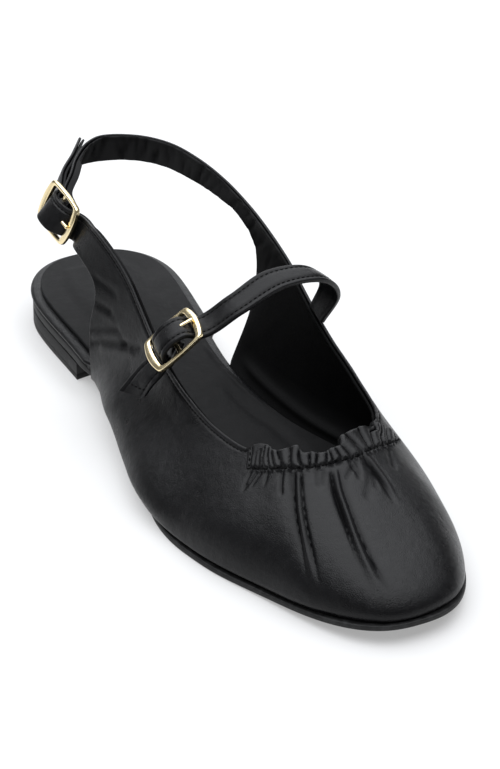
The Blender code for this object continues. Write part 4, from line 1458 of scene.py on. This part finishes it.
def build_chape_roll(name, place, edges, node, material):
    """The strap's end sewn round the centre bar."""
    across = np.linspace(*edges, ROLL_STEPS)
    points = [place.at(0, w, 0) for w in across]
    ends = np.minimum(1, np.minimum(across - edges[0], edges[1] - across) / EDGE_ROUND)
    radii = CHAPE_ROLL - EDGE_ROUND * (1 - np.sqrt(1 - (1 - ends) ** 2))
    piece = add_object(name, *pin(points, radii, place.outward), material)
    place_piece(piece, node)


def build_prong(name, place, row, material):
    """Pin from the centre bar that shows between its hole in the strap and the end bar."""
    rest = WIRE_HEIGHT + PRONG
    t = np.linspace(0, 1, PRONG_STEPS)
    start = row.prong_start * MM
    u = start + (PRONG_END_U - start) * t
    strap_height = row.side * MM * (END_BAR_U - start) / (END_BAR_U - HUMP_SIDE_U)
    n = strap_height * (1 - t) + rest * t
    points = [place.at(a, 0, b) for a, b in zip(u, n)]
    tip = np.clip((1 - t) / PRONG_TIP, 0, 1)
    radii = PRONG * (PRONG_BLUNT + (1 - PRONG_BLUNT) * np.sqrt(1 - (1 - tip) ** 2))
    piece = add_object(name + "_pin", *pin(points, radii, place.across), material)
    place_piece(piece, name)


def stitch_tree(material):
    """Node tree that sets a stitch at every pitch along the lines it is given."""
    tree = bpy.data.node_groups.new("stitches", "GeometryNodeTree")
    face = tree.interface
    face.new_socket("Lines", in_out="INPUT", socket_type="NodeSocketGeometry")
    face.new_socket("Pitch", in_out="INPUT", socket_type="NodeSocketFloat")
    face.new_socket("Stitch size", in_out="INPUT", socket_type="NodeSocketVector")
    face.new_socket("Stitches", in_out="OUTPUT", socket_type="NodeSocketGeometry")

    def add(kind, settings=None, **inputs):
        """A node with its settings, and its inputs linked or set."""
        node = tree.nodes.new(kind)
        for name, value in (settings or {}).items():
            setattr(node, name, value)
        for name, value in inputs.items():
            socket = node.inputs[name]
            if isinstance(value, bpy.types.NodeSocket):
                tree.links.new(value, socket)
            else:
                socket.default_value = value
        return node

    given = add("NodeGroupInput")
    curve = add("GeometryNodeMeshToCurve", Mesh=given.outputs["Lines"])
    points = add(
        "GeometryNodeCurveToPoints",
        {"mode": "LENGTH"},
        Curve=curve.outputs["Curve"],
        Length=given.outputs["Pitch"],
    )
    ball = add("GeometryNodeMeshUVSphere", Segments=STITCH_SEGMENTS, Rings=STITCH_RINGS, Radius=0.5)
    copies = add(
        "GeometryNodeInstanceOnPoints",
        Points=points.outputs["Points"],
        Instance=ball.outputs["Mesh"],
        Rotation=points.outputs["Rotation"],
        Scale=given.outputs["Stitch size"],
    )
    real = add("GeometryNodeRealizeInstances", Geometry=copies.outputs["Instances"])
    painted = add("GeometryNodeSetMaterial", Geometry=real.outputs["Geometry"], Material=material)
    result = add("NodeGroupOutput")
    tree.links.new(painted.outputs["Geometry"], result.inputs["Stitches"])
    return tree


def add_stitches(name, lines, tree, node):
    """Stitches along lines of points, as a plain mesh."""
    vertices = np.vstack(lines) + HEEL_BACK
    edges = []
    first = 0
    for line in lines:
        edges += [(first + step, first + step + 1) for step in range(len(line) - 1)]
        first += len(line)
    guide = bpy.data.meshes.new(name + "_guide")
    guide.from_pydata(vertices.tolist(), edges, [])
    thing = bpy.data.objects.new(name, guide)
    bpy.context.scene.collection.objects.link(thing)
    maker = thing.modifiers.new("stitches", "NODES")
    maker.node_group = tree
    sockets = {item.name: item.identifier for item in tree.interface.items_tree if item.in_out == "INPUT"}
    maker[sockets["Pitch"]] = STITCH_PITCH
    maker[sockets["Stitch size"]] = (2 * THREAD, 2 * THREAD, STITCH_LENGTH)
    bpy.context.view_layer.update()
    depsgraph = bpy.context.evaluated_depsgraph_get()
    mesh = bpy.data.meshes.new_from_object(thing.evaluated_get(depsgraph))
    thing.modifiers.remove(maker)
    thing.data = mesh
    mesh.shade_smooth()
    place_piece(thing, node)


def upper_stitch_lines(sheet, outside):
    """Lines of stitches on the upper: topline, band edge and the band's outer end."""
    lines = []
    outer_end = BAND_START + leaning(BAND_OUTER_END, TOPLINE_STITCH) * BAND_LENGTH
    inner_end = BAND_START + leaning(BAND_INNER_END, TOPLINE_STITCH) * BAND_LENGTH
    outer_run = (TOPLINE_START, outer_end - STITCH_CLEAR)
    inner_run = (inner_end + STITCH_CLEAR, STRIP_END - TOPLINE_END)
    for start, end in (outer_run, inner_run):
        places = np.arange(start, end, STITCH_LINE_SPACING)
        lines.append(grid_line(sheet, outside, places, TOPLINE_STITCH, 0))
    parts = np.linspace(0, 1, BAND_LINE_STEPS)
    edge = band_value(BAND_EDGE, parts) - SEAM_INSET
    on_band = (parts > leaning(BAND_OUTER_END, edge)) & (parts < leaning(BAND_INNER_END, edge))
    places = BAND_START + parts[on_band] * BAND_LENGTH
    lines.append(grid_line(sheet, outside, places, edge[on_band], THREAD / 2))
    belows = np.linspace(STITCH_CLEAR, edge[0] - STITCH_CLEAR, BAND_END_STEPS)
    places = BAND_START + leaning(BAND_OUTER_END, belows) * BAND_LENGTH + SEAM_INSET
    lines.append(grid_line(sheet, outside, places, belows, THREAD / 2))
    return lines


def strap_stitch_lines(sheet, outside):
    """Lines of stitches along both edges of a strap and across its tail."""
    places = np.arange(STITCH_CLEAR, sheet.places[-1] - TAIL_STITCH, STRAP_LINE_SPACING)
    width = sheet.below[:, 0]
    far = np.interp(places, sheet.places, width) - STRAP_STITCH
    lines = [grid_line(sheet, outside, places, belows, 0) for belows in (STRAP_STITCH, far)]
    across = np.linspace(STRAP_STITCH, width[-1] - STRAP_STITCH, TAIL_LINE_STEPS)
    end = np.full(len(across), sheet.places[-1] - TAIL_STITCH)
    lines.append(grid_line(sheet, outside, end, across, THREAD / 4))
    return lines


class Value:
    """A shader socket that can be used in sums."""

    def __init__(self, paint, socket):
        self.paint = paint
        self.socket = socket

    def join(self, operation, first, second):
        """The result of a sum of two values."""
        node = self.paint.node("ShaderNodeMath", {"operation": operation}, {0: first, 1: second})
        return Value(self.paint, node.outputs[0])

    def __add__(self, other):
        return self.join("ADD", self, other)

    __radd__ = __add__

    def __sub__(self, other):
        return self.join("SUBTRACT", self, other)

    def __rsub__(self, other):
        return self.join("SUBTRACT", other, self)

    def __mul__(self, other):
        return self.join("MULTIPLY", self, other)

    __rmul__ = __mul__


class Paint:
    """A material and short ways to add nodes to it."""

    def __init__(self, name):
        self.material = bpy.data.materials.new(name)
        self.material.use_nodes = True
        self.tree = self.material.node_tree
        self.surface = self.tree.nodes["Principled BSDF"]
        self.coordinates = self.node("ShaderNodeTexCoord").outputs["Object"]

    def node(self, kind, settings=None, inputs=None):
        """A node with its settings, and its inputs linked or set."""
        node = self.tree.nodes.new(kind)
        for name, value in (settings or {}).items():
            setattr(node, name, value)
        for name, value in (inputs or {}).items():
            self.feed(node.inputs[name], value)
        return node

    def feed(self, socket, value):
        """Links a socket to a value of the tree, or sets it to a number."""
        if isinstance(value, Value):
            value = value.socket
        if isinstance(value, bpy.types.NodeSocket):
            self.tree.links.new(value, socket)
        else:
            socket.default_value = value

    def noise(self, scale, detail):
        """Cloudy noise."""
        inputs = {"Vector": self.coordinates, "Scale": scale, "Detail": detail, "Roughness": 0.5}
        return Value(self, self.node("ShaderNodeTexNoise", None, inputs).outputs[0])

    def axis(self, name):
        """One coordinate of the part's own space."""
        parts = self.node("ShaderNodeSeparateXYZ", None, {0: self.coordinates})
        return Value(self, parts.outputs[name])

    def cells(self, scale):
        """Distance to the edges of small cells."""
        settings = {"feature": "DISTANCE_TO_EDGE"}
        inputs = {"Vector": self.coordinates, "Scale": scale}
        return Value(self, self.node("ShaderNodeTexVoronoi", settings, inputs).outputs["Distance"])

    def spread(self, value, low, high):
        """A value stretched so that low becomes 0 and high becomes 1."""
        inputs = {"Value": value, "From Min": low, "From Max": high}
        node = self.node("ShaderNodeMapRange", {"clamp": True}, inputs)
        return Value(self, node.outputs[0])

    def dye(self, finish, part):
        """Colours the surface from a finish's dark to its pale colour, and sets its reflection."""
        first, second = MIX_COLOURS
        inputs = {0: part, first: (*finish.dark, 1), second: (*finish.pale, 1)}
        node = self.node("ShaderNodeMix", {"data_type": "RGBA"}, inputs)
        self.set("Base Color", node.outputs[MIX_RESULT])
        self.set("Specular IOR Level", finish.gloss)

    def set(self, name, value):
        """Sets an input of the surface."""
        self.feed(self.surface.inputs[name], value)

    def attribute(self, name):
        """A value stored at the points of the mesh."""
        return Value(self, self.node("ShaderNodeAttribute", {"attribute_name": name}).outputs["Fac"])

    def blend_in_shade(self, part, colour, roughness):
        """Blends a part of the surface into a second, dark surface without reflection: painted shade."""
        finish = {"Base Color": (*colour, 1), "Roughness": roughness, "Specular IOR Level": 0}
        second = self.node("ShaderNodeBsdfPrincipled", None, finish)
        inputs = {0: part, 1: self.surface.outputs[0], 2: second.outputs[0]}
        mixed = self.node("ShaderNodeMixShader", None, inputs)
        self.feed(self.tree.nodes["Material Output"].inputs["Surface"], mixed.outputs[0])

    def relief(self, height, distance):
        """Fine relief of the surface."""
        inputs = {"Height": height, "Distance": distance, "Strength": 1.0}
        self.set("Normal", self.node("ShaderNodeBump", None, inputs).outputs[0])


def leather_paint():
    """Smooth dyed leather: fine pores, faint creasing and an uneven satin sheen, with painted shade in its
    folds, gathers, seams and stitch grooves.
    """
    paint = Paint("leather")
    broad = paint.spread(paint.noise(45, 3), 0.3, 0.7)
    cloud = paint.spread(paint.noise(260, 4), 0.3, 0.7)
    pores = paint.spread(paint.cells(1700), 0, 0.25)
    fine = paint.noise(3800, 3)
    paint.dye(LEATHER_FINISH, broad * 0.6 + cloud * 0.4)
    paint.set("Roughness", LEATHER_FINISH.rough + (broad - 0.5) * 0.06 + (cloud - 0.5) * 0.06)
    paint.relief(pores * 0.5 + fine * 0.5 + cloud * 1.5, LEATHER_FINISH.grain)
    # Painted shade: folds, gathers, seams and stitch grooves turn dark and lose their reflection
    paint.blend_in_shade(paint.attribute("crease_shade") * CREASE_SHADE_PART, CREASE_SHADE_COLOUR, CREASE_SHADE_ROUGHNESS)
    return paint.material


def sock_paint():
    """Matte sock leather, paler at the heel and darker towards the throat with painted shade under the
    upper.
    """
    paint = Paint("sock")
    cloud = paint.spread(paint.noise(260, 4), 0.3, 0.7)
    broad = paint.spread(paint.noise(60, 3), 0.3, 0.7)
    fine = paint.noise(3200, 3)
    # Painted shade: the sock darkens from the heel towards the throat, under the upper
    start, end = (HEEL_BACK[0] + x for x in SOCK_SHADE_X)
    along = paint.spread(paint.axis("X"), start, end)
    paint.dye(SOCK_FINISH, (1 - along * 0.5) * (0.6 + broad * 0.25 + cloud * 0.15))
    paint.set("Roughness", SOCK_FINISH.rough + (cloud - 0.5) * 0.1)
    paint.relief(fine + cloud * 1.2, SOCK_FINISH.grain)
    return paint.material


def lining_paint():
    """Dark lining leather, paler towards its foot with painted light from the sock below, and paler in the
    sling but for painted shade in its wrinkles.
    """
    paint = Paint("lining")
    fine = paint.noise(2600, 4)
    cloud = paint.spread(paint.noise(120, 3), 0.3, 0.7)
    # Painted light: the lining grows paler towards its foot, as lit from the sock below it
    foot = 1 - paint.spread(paint.axis("Z"), *LINING_PAINTED_LIGHT_Z)
    # Paler higher up in the sling, less so in its wrinkles, where painted shade lies
    sling = paint.spread(paint.axis("Z"), *SLING_PALE_Z)
    sling_pale_and_wrinkle_shade = sling * (1 - paint.attribute("crease_shade") * 0.7)
    paint.dye(LINING_FINISH, foot * 0.35 + sling_pale_and_wrinkle_shade * 0.9 + cloud * 0.05)
    paint.set("Roughness", LINING_FINISH.rough + (cloud - 0.5) * 0.1)
    paint.relief(fine, LINING_FINISH.grain)
    return paint.material


def rubber_paint():
    """Rough cut edge of the sole, with pale scuffs."""
    paint = Paint("rubber")
    fine = paint.noise(1900, 4)
    scuff = paint.spread(paint.noise(400, 4), 0.45, 0.75)
    paint.dye(RUBBER_FINISH, scuff)
    paint.set("Roughness", RUBBER_FINISH.rough + scuff * 0.15)
    paint.relief(fine, RUBBER_FINISH.grain)
    return paint.material


def gold_paint():
    """Pale polished gold plate with faint smudges."""
    paint = Paint("gold")
    smudge = paint.spread(paint.noise(300, 3), 0.35, 0.7)
    paint.dye(GOLD_FINISH, smudge)
    paint.set("Metallic", 1.0)
    paint.set("Roughness", GOLD_FINISH.rough + smudge * 0.10)
    paint.relief(paint.noise(900, 2), GOLD_FINISH.grain)
    return paint.material


def thread_paint():
    """Dull black thread."""
    paint = Paint("thread")
    paint.dye(THREAD_FINISH, paint.noise(6000, 2))
    paint.set("Roughness", THREAD_FINISH.rough)
    return paint.material


def floor_paint():
    """White ground that glows a little, so that it stays white."""
    paint = Paint("floor")
    paint.dye(FLOOR_FINISH, paint.noise(3, 2))
    paint.set("Roughness", FLOOR_FINISH.rough)
    paint.set("Emission Color", (1, 1, 1, 1))
    paint.set("Emission Strength", FLOOR_GLOW)
    return paint.material


def add_floor():
    """The ground under the shoe."""
    half = FLOOR_SIZE / 2
    mesh = bpy.data.meshes.new("floor")
    corners = [(-half, -half, 0), (half, -half, 0), (half, half, 0), (-half, half, 0)]
    mesh.from_pydata(corners, [], [(0, 1, 2, 3)])
    mesh.materials.append(floor_paint())
    floor = bpy.data.objects.new("floor", mesh)
    bpy.context.scene.collection.objects.link(floor)


def add_softbox(row):
    """A soft light that shines from its place towards its aim."""
    light = bpy.data.lights.new(row.name, "AREA")
    light.shape = "RECTANGLE"
    light.size = row.width
    light.size_y = row.depth
    light.energy = row.power
    light.color = LIGHT_COLOUR
    box = bpy.data.objects.new(row.name, light)
    box.location = row.place
    box.rotation_euler = (Vector(row.aim) - Vector(row.place)).to_track_quat("-Z", "Y").to_euler()
    bpy.context.scene.collection.objects.link(box)


def add_light():
    """Two soft lights in an evenly lit white room."""
    for row in LIGHTS:
        add_softbox(row)
    world = bpy.data.worlds.new("studio")
    world.use_nodes = True
    background = world.node_tree.nodes["Background"]
    background.inputs["Color"].default_value = (1, 1, 1, 1)
    background.inputs["Strength"].default_value = WORLD_STRENGTH
    bpy.context.scene.world = world
    bpy.context.scene.view_settings.view_transform = "Standard"


def add_camera():
    """The camera, in front of the shoe, above it and to its outer side."""
    lens = bpy.data.cameras.new("camera")
    lens.lens = CAMERA_LENS
    lens.clip_end = CAMERA_REACH
    camera = bpy.data.objects.new("camera", lens)
    place = Vector(CAMERA_PLACE + HEEL_BACK)
    aim = Vector(CAMERA_AIM + HEEL_BACK)
    turn = (aim - place).to_track_quat("-Z", "Y")
    turn = turn @ Quaternion((0, 0, 1), CAMERA_ROLL)
    camera.location = place
    camera.rotation_euler = turn.to_euler()
    bpy.context.scene.collection.objects.link(camera)
    bpy.context.scene.camera = camera


def main():
    """Builds the shoe from the sole up, and then its surroundings."""
    leather = leather_paint()
    sock = sock_paint()
    lining = lining_paint()
    rubber = rubber_paint()
    gold = gold_paint()
    thread = thread_paint()
    build_outsole(rubber)
    build_heel_lift(rubber)
    build_insole_board(leather)
    build_insole(sock)
    upper_lines = upper_stitch_lines(*build_upper_leather(leather))
    lining_sheet = build_upper_lining(lining)
    strap_lines = strap_stitch_lines(*build_instep_strap(leather))
    build_instep_tab(*lining_sheet, leather)
    build_chape_roll("sling_chape_roll", SLING_PLACE, SLING_ROLL_EDGES, "upper", leather)
    build_chape_roll("instep_chape_roll", INSTEP_PLACE, TAB_EDGES, "instep_tab", leather)
    for name, place, hump in (("sling", SLING_PLACE, SLING_HUMP), ("instep", INSTEP_PLACE, INSTEP_HUMP)):
        build_buckle(name + "_buckle", place, gold)
        build_prong(name + "_prong", place, hump, gold)
    tree = stitch_tree(thread)
    add_stitches("upper_stitches", upper_lines, tree, "upper")
    add_stitches("strap_stitches", strap_lines, tree, "instep_strap")
    add_floor()
    add_light()
    add_camera()


main()
